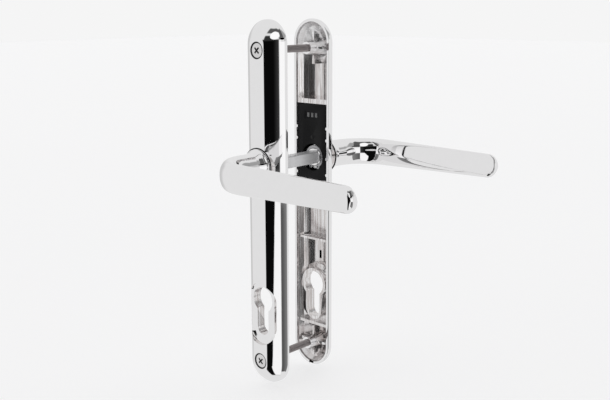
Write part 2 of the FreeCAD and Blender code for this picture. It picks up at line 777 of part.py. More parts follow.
lever_bend = shaped("lever_bend", bend_shape())
lever_grip = shaped("lever_grip", grip_shape())
lever_arm = joined("lever_arm", [lever_bend, lever_grip])
palm_cut = shaped("palm_cut", palm_cut_shape())
shaped_arm = without("shaped_arm", lever_arm, palm_cut)
lever_blank = joined("lever_blank", [lever_root, shaped_arm])
spigot_flats_cut = []
flats_length = "tower_front + case_gap / 2 - spigot_level + 1"
for side, x in (("near", "-spigot_width"), ("far", "spigot_flats / 2")):
    spigot_flats_cut.append(
        block(
            side + "_flat_cut",
            "spigot_width - spigot_flats / 2",
            flats_length,
            "2 * spigot_width",
            "spigot_level - 1",
            "-spigot_width",
            x,
        )
    )
groove_start = "clip_level - clip_gap"
groove_length = "clip_thick + 2 * clip_gap"
groove = without(
    "groove",
    rod("groove_outer", "spigot_width + 2", groove_length, groove_start),
    rod("groove_inner", "spigot_width - 2 * clip_groove", groove_length, groove_start),
)
socket = beveled_bar(
    "socket",
    "spindle_side + 2 * spindle_gap",
    "spindle_bevel",
    "spigot_level - 1",
    "back + socket_end - spigot_level + 1",
)
lever_cuts = joined("lever_cuts", spigot_flats_cut + [groove, socket])
outside_lever = without("outside_lever", lever_blank, lever_cuts)
spindle_half = "(back + socket_end - spindle_end_gap)"
spindle = beveled_bar(
    "spindle", "spindle_side", "spindle_bevel", "-" + spindle_half, "2 * " + spindle_half
)


# What turns with the lever behind the plate: clip, washer and hub

outside_bush = turned(
    "outside_bush",
    [
        ("bush_bore", "pocket_level"),
        ("bush_half", "pocket_level"),
        ("bush_half", "boss_level"),
        ("bush_flange_half", "boss_level"),
        ("bush_flange_half", "bush_top"),
        ("bush_bore", "bush_top"),
    ],
)
washer_disc = rod("washer_disc", "washer_width", "washer_thick", "washer_level")
washer_eye = rod("washer_eye", "spigot_width + 2 * run_gap", "washer_thick", "washer_level")
outside_washer = without("outside_washer", washer_disc, washer_eye)


def clip_ring():
    """The open ring of the clip, with its gap at the bottom."""
    ring = doc.addObject("Part::Cylinder", "clip_ring")
    bind(ring, Radius="clip_width / 2", Height="clip_thick", Angle="360 - clip_opening")
    turn = Rotation(Vector(0, 0, 1), value("clip_opening") / 2 + 90)
    put(ring, y="clip_level", rotation=ALONG_Y.multiply(turn))
    bore = "spigot_width - 2 * clip_groove + 2 * clip_gap"
    return without("clip_band", ring, rod("clip_bore", bore, "clip_thick", "clip_level"))


lug_radius = "(spigot_half - clip_groove + clip_gap + clip_lug / 2)"
clip_lugs = []
clip_eyes = []
for side, sign in (("left", "-"), ("right", "")):
    x = f"{sign}{lug_radius} * sin(clip_opening / 2)"
    z = f"-{lug_radius} * cos(clip_opening / 2)"
    clip_lugs.append(rod(side + "_clip_lug", "clip_lug", "clip_thick", "clip_level", x, z))
    clip_eyes.append(rod(side + "_clip_eye", "clip_eye", "clip_thick", "clip_level", x, z))
outside_circlip = without(
    "outside_circlip",
    joined("clip_blank", [clip_ring()] + clip_lugs),
    joined("clip_eyes", clip_eyes),
)

hub_length = "tower_front - hub_level"
hub_barrel = rod("hub_barrel", "2 * hub_half", hub_length, "hub_level")
hub_arm = block("hub_arm", "finger_width", "arm_thick", "finger_out - hub_half / 2", "hub_level", "hub_half / 2")
hub_finger = block(
    "hub_finger",
    "finger_width",
    "case_front_in - run_gap - hub_level",
    "finger_thick",
    "hub_level",
    "finger_in",
)
hub_bore = shared(
    "hub_bore",
    rod("hub_bore_round", "spigot_width + 2 * run_gap", hub_length, "hub_level"),
    block(
        "hub_bore_flats",
        "spigot_flats + 2 * run_gap",
        hub_length,
        "2 * spigot_width",
        "hub_level",
        "-spigot_width",
    ),
)
outside_hub = without("outside_hub", joined("hub_blank", [hub_barrel, hub_arm, hub_finger]), hub_bore)


# The torsion spring: one wire with a leg on each side of the finger

def joint_of(start, first, end, last):
    """Where two arcs meet that join two points along the given headings."""
    span = end - start
    square = 2 * (1 - first.dot(last))
    straight = span.dot(first + last)
    reach = (-straight + math.sqrt(straight ** 2 + square * span.dot(span))) / square
    return (start + end + (first - last) * reach) * 0.5


def wire_through(places, heading, thick):
    """An eight-sided wire that leaves the first place along a heading, in arcs and straights."""
    place = places[0]
    reach = thick / 2 / math.cos(math.radians(22.5))
    spoke = Vector(0, 1, 0) * reach
    turns = [Rotation(heading, degrees) for degrees in range(0, 361, 45)]
    rim = Part.makePolygon([place + turn.multVec(spoke) for turn in turns])
    faces = [Part.Face(Part.Wire(rim))]
    for end in places[1:]:
        chord = end - place
        across = chord - heading * chord.dot(heading)
        if across.Length < 1e-6:
            faces.append(rim.extrude(chord))
            rim = rim.translated(chord)
        else:
            across.normalize()
            centre = place + across * (chord.dot(chord) / (2 * chord.dot(across)))
            axis = heading.cross(across)
            degrees = math.degrees(2 * heading.getAngle(chord))
            faces.append(rim.revolve(centre, axis, degrees))
            rim = rim.rotated(centre, axis, degrees)
            heading = Rotation(axis, degrees).multVec(heading)
        place = end
    faces.append(Part.Face(Part.Wire(rim)))
    skin = Part.Compound(faces)
    skin.sewShape()
    return Part.Solid(skin.Shells[0])


def spring_shape():
    """The coil, an even climb of just under two turns, and its two upright legs."""
    radius = value("coil_radius")
    bend = value("spring_bend")
    offset = value("leg_offset")
    level = value("coil_level")
    pitch = value("spring_pitch")
    leave = math.acos((offset + bend) / (radius + bend))
    begin = math.pi - leave
    finish = leave + 4 * math.pi
    climb = pitch * (finish - begin) / (2 * math.pi)

    def on_coil(share):
        angle = between(begin, finish, share)
        place = Vector(radius * math.cos(angle), level + climb * share, radius * math.sin(angle))
        rise = 0.0 if share in (0.0, 1.0) else pitch / (2 * math.pi)
        heading = Vector(-radius * math.sin(angle), rise, radius * math.cos(angle)).normalize()
        return place, heading

    bend_top = (radius + bend) * math.sin(leave)
    leg_end = value("leg_end")
    places = [Vector(-offset, level, leg_end), Vector(-offset, level, bend_top), on_coil(0.0)[0]]
    for step in range(8):
        start, heading = on_coil(step / 8)
        end, after = on_coil((step + 1) / 8)
        places += [joint_of(start, heading, end, after), end]
    top = level + climb
    places += [Vector(offset, top, bend_top), Vector(offset, top, leg_end)]
    return wire_through(places, Vector(0, 0, -1), value("spring_wire"))


outside_spring = shaped("outside_spring", spring_shape())


# The cassette: a case that fills the hollow behind the lever, its cover and its pin

case_half = [
    ("0", "case_back"),
    ("case_flank_half", "case_back"),
    ("case_flank_half", "case_flank_level"),
    ("case_face_half", "case_front"),
    ("0", "case_front"),
]
case_bar = bar("case_bar", both_sides(case_half), "-case_bottom", "case_top + case_bottom")
tower = rod("tower", "2 * tower_half", "tower_front - case_back", "case_back")
case_half_inner = [
    ("0", "back"),
    ("case_flank_half_in", "back"),
    ("case_flank_half_in", "case_flank_level"),
    ("case_face_half_in", "case_front_in"),
    ("0", "case_front_in"),
]
case_room = bar(
    "case_room",
    both_sides(case_half_inner),
    "case_wall - case_bottom",
    "case_top + case_bottom - 2 * case_wall",
)
tower_room = rod("tower_room", "2 * tower_half_in", "case_front_in - back", "back")
case_shell = without(
    "case_shell", joined("case_form", [case_bar, tower]), joined("case_rooms", [case_room, tower_room])
)
inside_depth = "case_front - case_back"
pin_boss = rod("pin_boss", "pin_boss", inside_depth, "case_back", z="pin_rise")
spring_lug = block(
    "spring_lug", "finger_width", inside_depth, "lug_height", "case_back", "lug_in"
)
end_stops = []
for side, sign in (("right", 1), ("left", -1)):
    angle = sign * value("stop_angle")
    stop = doc.addObject("Part::Box", side + "_end_stop")
    bind(stop, Length="stop_width", Width=inside_depth, Height="stop_out - stop_in")
    stop.Placement = Placement(Vector(), Rotation(Vector(0, 1, 0), angle))
    start = "finger_width / 2" if sign > 0 else "-finger_width / 2 - stop_width"
    swing = f"({sign} * stop_angle)"
    bind(
        stop,
        Placement__Base__x=f"({start}) * cos({swing}) + stop_in * sin({swing})",
        Placement__Base__y="case_back",
        Placement__Base__z=f"stop_in * cos({swing}) - ({start}) * sin({swing})",
    )
    end_stops.append(stop)
case_body = joined("case_body", [case_shell, pin_boss, spring_lug] + end_stops)
hub_hole = rod("hub_hole", "2 * (hub_half + case_gap)", "plate_depth", "case_back")
pin_hole_width = "pin_width + 2 * pin_gap"
pin_start = "back + cover_set_back - pin_proud"
case_pin_hole = rod("case_pin_hole", pin_hole_width, "pin_length + pin_gap", pin_start, z="pin_rise")
outside_case = without("outside_case", case_body, joined("case_cuts", [hub_hole, case_pin_hole]))

cover_start = "back + cover_set_back"
cover_plate = block(
    "cover_plate",
    "2 * flank_half_in",
    "cover_thick",
    "case_top + case_bottom",
    cover_start,
    "-case_bottom",
)
cover_panel = block(
    "cover_panel", "panel_width", "panel_deep + 1", "panel_height", f"{cover_start} - 1", "panel_rise"
)
cover_eye = rod("cover_eye", "cover_hole", "cover_thick", cover_start)
cover_pin_hole = rod("cover_pin_hole", pin_hole_width, "cover_thick", cover_start, z="pin_rise")
outside_cover = without(
    "outside_cover", cover_plate, joined("cover_cuts", [cover_panel, cover_eye, cover_pin_hole])
)
outside_pin = rod("outside_pin", "pin_width", "pin_length", pin_start, z="pin_rise")


# The inside half mirrors the outside half

nodes = [inside_plate, outside_plate, fixing_screws, spindle]
for kind, piece in {
    "lever": outside_lever,
    "bush": outside_bush,
    "washer": outside_washer,
    "circlip": outside_circlip,
    "hub": outside_hub,
    "spring": outside_spring,
    "case": outside_case,
    "cover": outside_cover,
    "pin": outside_pin,
}.items():
    nodes += [piece, mirrored("inside_" + kind, piece)]

doc.recompute()
for item in doc.Objects:
    if "Invalid" in item.State or "Error" in item.State:
        raise RuntimeError(f"{item.Name}: {item.State}")
for node in nodes:
    if node.Shape.isNull() or not node.Shape.isValid():
        raise RuntimeError(f"{node.Name}: the shape is not valid")

os.makedirs("parts", exist_ok=True)
for node in nodes:
    node.Label = node.Name
    node.Shape.exportStep(f"parts/{node.Name}.step")
    box = node.Shape.BoundBox
    print(f"{node.Name}: {len(node.Shape.Solids)} solids, volume {node.Shape.Volume:.0f},")
    print(f"  X {box.XMin:.2f} {box.XMax:.2f} Y {box.YMin:.2f} {box.YMax:.2f} Z {box.ZMin:.2f} {box.ZMax:.2f}")
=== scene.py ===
"""Looks of a sprung door handle set: chrome plates and levers, black cassettes, screws and spindle.

The frame is the part's own, in metres: Z up, X along the levers, Y through the door from the inside
plate to the outside plate. Shapes are worked out in millimetres for the outside half, and the
inside half is their mirror image in the plane Y = 0. The screws are worked out where they sit.
"""

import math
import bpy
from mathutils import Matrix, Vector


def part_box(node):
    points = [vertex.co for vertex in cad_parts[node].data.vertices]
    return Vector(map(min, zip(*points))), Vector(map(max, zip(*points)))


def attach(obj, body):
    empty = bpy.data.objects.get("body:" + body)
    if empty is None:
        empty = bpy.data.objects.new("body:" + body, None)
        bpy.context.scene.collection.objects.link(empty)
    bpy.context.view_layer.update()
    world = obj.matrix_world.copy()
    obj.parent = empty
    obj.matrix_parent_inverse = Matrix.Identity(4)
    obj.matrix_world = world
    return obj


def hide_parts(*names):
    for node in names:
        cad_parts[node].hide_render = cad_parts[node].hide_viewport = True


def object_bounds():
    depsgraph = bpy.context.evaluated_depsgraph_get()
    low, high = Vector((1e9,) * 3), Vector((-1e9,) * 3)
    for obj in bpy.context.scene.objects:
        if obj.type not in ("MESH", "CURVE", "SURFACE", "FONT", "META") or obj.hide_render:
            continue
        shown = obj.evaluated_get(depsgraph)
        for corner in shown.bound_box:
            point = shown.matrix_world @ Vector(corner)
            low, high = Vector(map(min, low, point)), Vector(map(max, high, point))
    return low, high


bl_info = {
    "name": "Sprung lever handle set",
    "version": (1, 0, 0),
    "blender": (4, 5, 0),
    "location": "3D View > Sidebar > Handle set",
    "description": "Chrome, plastic and steel for the packed handle set, in a soft studio light",
    "category": "Object",
}

import bmesh
import bpy
import numpy as np
from bpy.props import FloatProperty, FloatVectorProperty, PointerProperty
from mathutils import Matrix, Vector

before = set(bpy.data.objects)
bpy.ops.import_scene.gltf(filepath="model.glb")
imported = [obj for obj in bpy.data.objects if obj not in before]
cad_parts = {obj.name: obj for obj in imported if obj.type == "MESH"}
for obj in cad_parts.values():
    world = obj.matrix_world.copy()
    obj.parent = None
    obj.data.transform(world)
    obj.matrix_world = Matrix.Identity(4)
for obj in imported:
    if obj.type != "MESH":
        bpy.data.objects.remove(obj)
START_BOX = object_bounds()
MM = 0.001


# Shader maths


class Value:
    """A socket, with the operators that add Math nodes."""

    def __init__(self, maker, socket):
        self.maker = maker
        self.socket = socket

    def __add__(self, other):
        return self.maker.maths("ADD", self, other)

    __radd__ = __add__

    def __sub__(self, other):
        return self.maker.maths("SUBTRACT", self, other)

    def __rsub__(self, other):
        return self.maker.maths("SUBTRACT", other, self)

    def __mul__(self, other):
        return self.maker.maths("MULTIPLY", self, other)

    __rmul__ = __mul__

    def __truediv__(self, other):
        return self.maker.maths("DIVIDE", self, other)

    def __neg__(self):
        return self * -1.0

    def step_over(self, low, high):
        """0 below low, 1 above high, and smooth between."""
        settings = {"interpolation_type": "SMOOTHSTEP"}
        return self.maker.node(
            "ShaderNodeMapRange", settings, {"Value": self, "From Min": low, "From Max": high}
        )


class Maker:
    """Adds nodes to a tree: a type, its settings and the values or links of its sockets."""

    def __init__(self, tree):
        self.tree = tree

    def node(self, kind, settings=None, inputs=None, output=0):
        made = self.tree.nodes.new(kind)
        for name, setting in (settings or {}).items():
            setattr(made, name, setting)
        for key, given in (inputs or {}).items():
            if isinstance(given, Value):
                self.tree.links.new(given.socket, made.inputs[key])
            else:
                made.inputs[key].default_value = given
        return Value(self, made.outputs[output]) if made.outputs else None

    def maths(self, operation, *given):
        """A Math node over one or two values or numbers."""
        return self.node("ShaderNodeMath", {"operation": operation}, dict(enumerate(given)))


def empty_material(name):
    """The maker of a new material, whose tree is empty, and the place on the object it is on."""
    material = bpy.data.materials.new(name)
    material.use_nodes = True
    material.node_tree.nodes.clear()
    maker = Maker(material.node_tree)
    return maker, maker.node("ShaderNodeTexCoord", output="Object")


def finish_material(maker, inputs):
    """The Principled shader with these sockets, on the material's output."""
    shader = maker.node("ShaderNodeBsdfPrincipled", {}, inputs)
    maker.node("ShaderNodeOutputMaterial", {}, {"Surface": shader})


def opaque(colour, share=1.0):
    """A share of the colour, with its alpha at 1."""
    return (*[part * share for part in colour], 1.0)


def noise(maker, place, scale, detail=2.0, roughness=0.5):
    """A noise value round 0.5, in cells per metre."""
    return maker.node(
        "ShaderNodeTexNoise",
        {},
        {"Vector": place, "Scale": scale, "Detail": detail, "Roughness": roughness},
    )


# The sockets of a Mix node that are used when it mixes colours
MIX_SHARE, MIX_FIRST, MIX_SECOND, MIXED_COLOUR = 0, 6, 7, 2


def mix(maker, share, first, second):
    """A colour between two others."""
    inputs = {MIX_SHARE: share, MIX_FIRST: first, MIX_SECOND: second}
    return maker.node("ShaderNodeMix", {"data_type": "RGBA"}, inputs, output=MIXED_COLOUR)


def bump(maker, height, distance):
    """The normal over a height, whose full range is the distance in metres."""
    return maker.node("ShaderNodeBump", {}, {"Height": height, "Distance": distance})


def stretched(maker, place, factors):
    """The place with each axis scaled, which draws a pattern out into streaks."""
    return maker.node("ShaderNodeVectorMath", {"operation": "MULTIPLY"}, {0: place, 1: factors})


def parts_of(maker, place):
    """The three coordinates of a place."""
    first = maker.node("ShaderNodeSeparateXYZ", {}, {"Vector": place})
    return [Value(maker, output) for output in first.socket.node.outputs]


def chrome_material(colours):
    """Bright plating: mirror gloss with faint polishing waves and fine wiping marks."""
    maker, place = empty_material("bright_chrome")
    waves = noise(maker, place, scale=55.0, detail=1.0)
    wipes = noise(maker, stretched(maker, place, (3.0, 3.0, 0.35)), scale=900.0)
    haze = noise(maker, place, scale=210.0, detail=3.0)
    rough = 0.03 + 0.035 * haze.step_over(0.45, 0.8) + 0.02 * wipes.step_over(0.55, 0.8)
    inputs = {
        "Base Color": mix(maker, haze, opaque(colours.chrome, 0.97), opaque(colours.chrome)),
        "Metallic": 1.0,
        "Roughness": rough,
        "Normal": bump(maker, waves, distance=0.00003),
    }
    finish_material(maker, inputs)


def casting_material(colours):
    """The plated casting seen from its back: bright, with flow lines and a soft orange-peel skin.

    The flow lines run upright on the long walls, and the two domes are clouded instead.
    """
    maker, place = empty_material("plated_casting")
    upright = stretched(maker, place, (1.0, 1.0, 0.04))
    flow = noise(maker, upright, scale=900.0, detail=3.0, roughness=0.6)
    peel = noise(maker, place, scale=1300.0)
    cloud = noise(maker, place, scale=60.0)
    rise = parts_of(maker, place)[2]
    walls = rise.step_over(-0.128, -0.112) * (1 - rise.step_over(0.062, 0.072))
    rough = 0.13 + 0.10 * cloud.step_over(0.4, 0.75) + 0.09 * flow.step_over(0.5, 0.8)
    bright = walls * flow.step_over(0.42, 0.62) + (1 - walls) * cloud.step_over(0.3, 0.7)
    inputs = {
        "Base Color": mix(maker, bright, opaque((0.66, 0.62, 0.61)), opaque(colours.chrome)),
        "Metallic": 0.88,
        "Roughness": rough,
        "Normal": bump(maker, walls * flow * 0.7 + peel * 0.1, distance=0.00003),
    }
    finish_material(maker, inputs)


def plastic_material(name, colour):
    """Moulded plastic with a spark-eroded grain and pale dust in a few of its cells."""
    maker, place = empty_material(name)
    grain = noise(maker, place, scale=2600.0, detail=3.0, roughness=0.6)
    cloud = noise(maker, place, scale=140.0)
    dust = noise(maker, place, scale=5200.0, detail=1.0).step_over(0.68, 0.76)
    inputs = {
        "Base Color": mix(maker, dust * 0.2, opaque(colour), opaque((0.06, 0.06, 0.06))),
        "Roughness": 0.38 + 0.16 * cloud + 0.08 * grain,
        "Specular IOR Level": 0.16,
        "Normal": bump(maker, grain, distance=0.00004),
    }
    finish_material(maker, inputs)


def steel_material(name, colour, streaks, roughness, metallic=1.0):
    """Plain or plated steel, its roughness between two limits along drawing lines and clouds."""
    maker, place = empty_material(name)
    drawn = stretched(maker, place, streaks)
    lines = noise(maker, drawn, scale=1500.0, detail=3.0, roughness=0.6)
    cloud = noise(maker, place, scale=160.0)
    low, high = roughness
    inputs = {
        "Base Color": mix(maker, cloud, opaque(colour, 0.82), opaque(colour)),
        "Metallic": metallic,
        "Roughness": low + (high - low) * (lines * 0.6 + cloud * 0.4),
        "Normal": bump(maker, lines, distance=0.00004),
    }
    finish_material(maker, inputs)


def floor_material(colours):
    """Pale paper that gives most of its light itself, so that shadows on it stay faint."""
    maker, place = empty_material("pale_floor")
    cloud = noise(maker, place, scale=4.0, detail=1.0)
    tint = mix(maker, cloud, opaque(colours.floor, 0.995), opaque(colours.floor))
    inputs = {
        "Base Color": mix(maker, 0.62, tint, opaque((0.0, 0.0, 0.0))),
        "Roughness": 0.9,
        "Emission Color": tint,
        "Emission Strength": 0.74,
    }
    finish_material(maker, inputs)


# Surfaces worked out with numpy


def placed(name, data):
    """A new object of a mesh or a camera, in the scene."""
    thing = bpy.data.objects.new(name, data)
    bpy.context.scene.collection.objects.link(thing)
    return thing


def piece_from(name, points, ends=True):
    """An object over a grid of points in millimetres: rows along the piece, columns round it.

    Each cell between neighbouring rows and columns is a face, and the last column joins the first.
    One face closes the first and one the last row when ends is set.
    """
    rows, columns = points.shape[:2]
    index = np.arange(rows * columns).reshape(rows, columns)
    index = np.hstack([index, index[:, :1]])
    near, far = index[:-1], index[1:]
    cells = np.stack([near[:, :-1], near[:, 1:], far[:, 1:], far[:, :-1]], -1).reshape(-1, 4)
    faces = cells.tolist()
    if ends:
        faces += [index[0, :columns].tolist(), index[-1, :columns].tolist()]
    mesh = bpy.data.meshes.new(name)
    mesh.from_pydata((points.reshape(-1, 3) * MM).tolist(), [], faces)
    return placed(name, cleaned(mesh))


def cleaned(mesh):
    """The mesh with its doubles merged and its faces outwards."""
    work = bmesh.new()
    work.from_mesh(mesh)
    bmesh.ops.remove_doubles(work, verts=work.verts, dist=2e-6)
    bmesh.ops.dissolve_degenerate(work, edges=work.edges, dist=1e-7)
    bmesh.ops.recalc_face_normals(work, faces=work.faces)
    work.to_mesh(mesh)
    work.free()
    return mesh


def smooth(thing, degrees):
    """Smooth shading, with a sharp edge wherever two faces meet at more than the angle."""
    mesh = thing.data
    mesh.polygons.foreach_set("use_smooth", np.ones(len(mesh.polygons), bool))
    mesh.set_sharp_from_angle(angle=math.radians(degrees))
    return thing


def mirrored(mesh):
    """The mesh turned into its mirror image in the plane Y = 0, with its faces outwards again."""
    mesh.transform(Matrix.Diagonal((1.0, -1.0, 1.0, 1.0)))
    mesh.flip_normals()
    return mesh


def mirrored_copy(thing, name):
    """A new object of the mirror image of the thing."""
    mesh = mirrored(thing.data.copy())
    mesh.name = name
    return placed(name, mesh)


def turned_about_y(name, profile, count, ends=True):
    """A lathe piece: each profile pair is a radius and a Y, turned through a full circle."""
    profile = np.array(profile, float)
    angle = np.linspace(0, 2 * np.pi, count, endpoint=False)
    radius, along = profile[:, :1], profile[:, 1:]
    points = np.stack([radius * np.cos(angle), along + 0 * angle, radius * np.sin(angle)], -1)
    return piece_from(name, points, ends)


def applied(thing):
    """The piece with all its modifiers baked into the mesh."""
    seen = bpy.context.evaluated_depsgraph_get()
    mesh = bpy.data.meshes.new_from_object(thing.evaluated_get(seen))
    thing.modifiers.clear()
    thing.data = mesh
    return thing


def cut_by(thing, cutter):
    """The piece with the cutter's volume taken out, and the cutter removed."""
    change = thing.modifiers.new("cut", "BOOLEAN")
    change.operation = "DIFFERENCE"
    change.solver = "EXACT"
    change.object = cutter
    applied(thing)
    bpy.data.objects.remove(cutter)
    return thing


def edges_rounded(thing, width, degrees):
    """The piece with a bevel of the width in metres along each edge sharper than the angle."""
    rounding = thing.modifiers.new("rounding", "BEVEL")
    rounding.width = width
    rounding.segments = 2
    rounding.limit_method = "ANGLE"
    rounding.angle_limit = math.radians(degrees)
    return applied(thing)


def joined(name, things):
    """One object from several, in the order given."""
    work = bmesh.new()
    for thing in things:
        work.from_mesh(thing.data)
    mesh = bpy.data.meshes.new(name)
    work.to_mesh(mesh)
    work.free()
    for thing in things:
        bpy.data.objects.remove(thing)
    return placed(name, mesh)


def copied_node(node, name, degrees):
    """A merged copy of a CAD node, shaded smooth up to the angle."""
    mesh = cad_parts[node].data.copy()
    mesh.name = name
    work = bmesh.new()
    work.from_mesh(mesh)
    bmesh.ops.remove_doubles(work, verts=work.verts, dist=1e-6)
    work.to_mesh(mesh)
    work.free()
    return smooth(placed(name, mesh), degrees)


def face_centres(mesh):
    """The centre in millimetres and the normal of every face."""
    centre = np.zeros(len(mesh.polygons) * 3)
    normal = np.zeros(len(mesh.polygons) * 3)
    mesh.polygons.foreach_get("center", centre)
    mesh.polygons.foreach_get("normal", normal)
    return centre.reshape(-1, 3) / MM, normal.reshape(-1, 3)


def mark_faces(thing, marks):
    """Give each face the material whose place in the piece's list its mark says."""
    thing.data.polygons.foreach_set("material_index", marks.astype(np.int32))


def dress(thing, materials, body, node):
    """Give a finished piece its materials and its body, and hide the node it stands for."""
    thing.data.materials.clear()
    for name in materials:
        thing.data.materials.append(bpy.data.materials[name])
    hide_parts(node)
    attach(thing, body)


def between(first, last, share):
    """The value at a share of the way from the first to the last."""
    return first + (last - first) * share


def arc_rows(start, end, rise, count):
    """Points on an arc over the chord from start to end, which bulges to the left by the rise."""
    start, end = np.array(start, float), np.array(end, float)
    chord = end - start
    left = np.array([-chord[1], chord[0]]) / np.hypot(*chord)
    share = np.linspace(0, 1, count)[:, None]
    half = 2 * math.atan(2 * abs(rise) / np.hypot(*chord))
    radius = np.hypot(*chord) / 2 / math.sin(half)
    angle = (2 * share - 1) * half
    lift = radius * (np.cos(angle) - math.cos(half)) * math.copysign(1.0, rise)
    side = 0.5 + np.sin(angle) / (2 * math.sin(half))
    return (start + chord * side + left * lift).tolist()


def back_of(sizes):
    """How far the back of a plate lies from the plane Y = 0, in millimetres."""
    return sizes.gap / 2 / MM


# What a user would change


class HandleSizes(bpy.types.PropertyGroup):
    gap: FloatProperty(
        name="Door gap",
        description="Between the backs of the two plates",
        default=0.040,
        unit="LENGTH",
        subtype="DISTANCE",
    )
    bend: FloatProperty(
        name="Bend",
        description="Radius of the lever's centre line round its bend",
        default=0.0255,
        unit="LENGTH",
        subtype="DISTANCE",
    )
    reach: FloatProperty(
        name="Reach",
        description="Spindle's axis to the tip of a lever",
        default=0.116,
        unit="LENGTH",
        subtype="DISTANCE",
    )
    grip_depth: FloatProperty(
        name="Grip depth",
        description="Back of a plate to the centre line of its grip",
        default=0.052,
        unit="LENGTH",
        subtype="DISTANCE",
    )
    palm_tilt: FloatProperty(
        name="Palm tilt",
        description="Tilt of the flat palm side",
        default=math.radians(12.0),
        unit="ROTATION",
        subtype="ANGLE",
    )
    thread_pitch: FloatProperty(
        name="Thread pitch",
        description="Advance of the screws' thread in one turn",
        default=0.0008,
        unit="LENGTH",
        subtype="DISTANCE",
        precision=5,
    )


class HandleColours(bpy.types.PropertyGroup):
    chrome: FloatVectorProperty(
        name="Chrome",
        description="Reflected colour of the plating",
        default=(0.93, 0.925, 0.93),
        subtype="COLOR",
        min=0.0,
        max=1.0,
    )
    plastic: FloatVectorProperty(
        name="Plastic",
        description="Colour of the cassettes and bushes",
        default=(0.004, 0.004, 0.0045),
        subtype="COLOR",
        min=0.0,
        max=1.0,
    )
    steel: FloatVectorProperty(
        name="Steel",
        description="Reflected colour of the hubs and washers",
        default=(0.70, 0.70, 0.70),
        subtype="COLOR",
        min=0.0,
        max=1.0,
    )
    floor: FloatVectorProperty(
        name="Floor",
        description="Colour of the studio floor",
        default=(0.90, 0.90, 0.905),
        subtype="COLOR",
        min=0.0,
        max=1.0,
    )


# Levers: radii, half sizes across the grip, and rises from the back of the plate, in millimetres

NECK_RADIUS, NECK_RISE = 9.4, 21.0
FLANGE_RADIUS, FLANGE_RISE = 11.6, 13.05
BEND_HALF, GRIP_HALF, TIP_HALF = 6.0, 5.3, 4.7
GRIP_HEIGHT, TIP_HEIGHT = 9.3, 7.8
TIP_LENGTH, TIP_THINNING = 6.0, 0.42
ROUND, SQUARISH = 2.0, 2.4
PALM_START, PALM_DISTANCE, PALM_FALL = 27.0, 5.85, 3.9
PALM_FADE_START, PALM_FADE_LENGTH = 20.0, 6.0
PALM_RIM, PALM_TIP_RIM = 0.16, 1.2
TIP_RIM_START, TIP_RIM_LENGTH = 9.0, 6.0
SPIGOT_RADIUS, SPIGOT_TIP, SPIGOT_END = 6.2, 2.4, 13.2
GROOVE_RADIUS, GROOVE_START, GROOVE_STOP = 5.9, 3.05, 4.05
FLAT_HALF, FLAT_STOP = 5.5, 10.25
SOCKET_HALF, SOCKET_STOP = 4.15, 13.0


def root_profile(back):
    """The turned root: a rounded flange, a low ring and a long hollow up to the neck."""
    flange, rim = back + FLANGE_RISE, FLANGE_RADIUS
    edge = [
        (SPIGOT_RADIUS, flange - 0.3),
        (SPIGOT_RADIUS, flange),
        (SPIGOT_RADIUS + 0.05, flange),
        (rim - 0.25, flange),
        (rim - 0.15, flange),
        (rim, flange + 0.15),
        (rim, flange + 0.25),
        (rim, flange + 0.7),
        (rim, flange + 0.8),
        (rim - 0.08, flange + 0.92),
    ]
    ring = arc_rows((rim - 0.1, flange + 0.95), (rim - 1.0, flange + 2.5), 0.22, 8)
    crest = [(rim - 1.02, flange + 2.62), (rim - 1.1, flange + 2.78)]
    hollow = arc_rows((rim - 1.18, flange + 2.95), (NECK_RADIUS, back + NECK_RISE), 0.3, 22)
    return edge + ring + crest + hollow


def lever_stations(sizes):
    """Rows of the lever's skin: centre X and Y, heading, half thickness, half height and power.

    The root is a turned shape about Y. The centre line then runs straight, round a quarter circle
    and straight to the tip, whose outline is a quarter of an ellipse. Round the bend the section
    changes from the neck's circle to the grip's flatter and squarer shape.
    """
    back = back_of(sizes)
    radius = sizes.bend / MM
    depth = back + sizes.grip_depth / MM
    bend_start = depth - radius
    tip_start = sizes.reach / MM - TIP_LENGTH
    along_x = math.pi / 2
    rows = [(0.0, y, 0.0, r, r, ROUND) for r, y in root_profile(back)]
    for share in np.linspace(0, 1, 12)[1:-1]:
        y = between(back + NECK_RISE, bend_start, share)
        rows.append((0.0, y, 0.0, NECK_RADIUS, NECK_RADIUS, ROUND))
    for share in np.linspace(0, 1, 91):
        turn = along_x * share
        if share <= 0.5:
            ease = (1 - math.cos(2 * math.pi * share)) / 2
            thick = between(NECK_RADIUS, BEND_HALF, ease)
        else:
            thick = between(BEND_HALF, GRIP_HALF, 2 * share - 1)
        x = radius * (1 - math.cos(turn))
        y = bend_start + radius * math.sin(turn)
        height = between(NECK_RADIUS, GRIP_HEIGHT, share)
        rows.append((x, y, turn, thick, height, between(ROUND, SQUARISH, share)))
    for share in np.linspace(0, 1, 110)[1:]:
        thick = between(GRIP_HALF, TIP_HALF, share)
        height = between(GRIP_HEIGHT, TIP_HEIGHT, share)
        rows.append((between(radius, tip_start, share), depth, along_x, thick, height, SQUARISH))
    for turn in np.radians(np.linspace(0, 89.5, 40)[1:]):
        thick = TIP_HALF * between(1.0, TIP_THINNING, (1 - math.cos(turn)) ** 1.5)
        x = tip_start + TIP_LENGTH * math.sin(turn)
        rows.append((x, depth, along_x, thick, TIP_HEIGHT * math.cos(turn), SQUARISH))
    return np.array(rows)


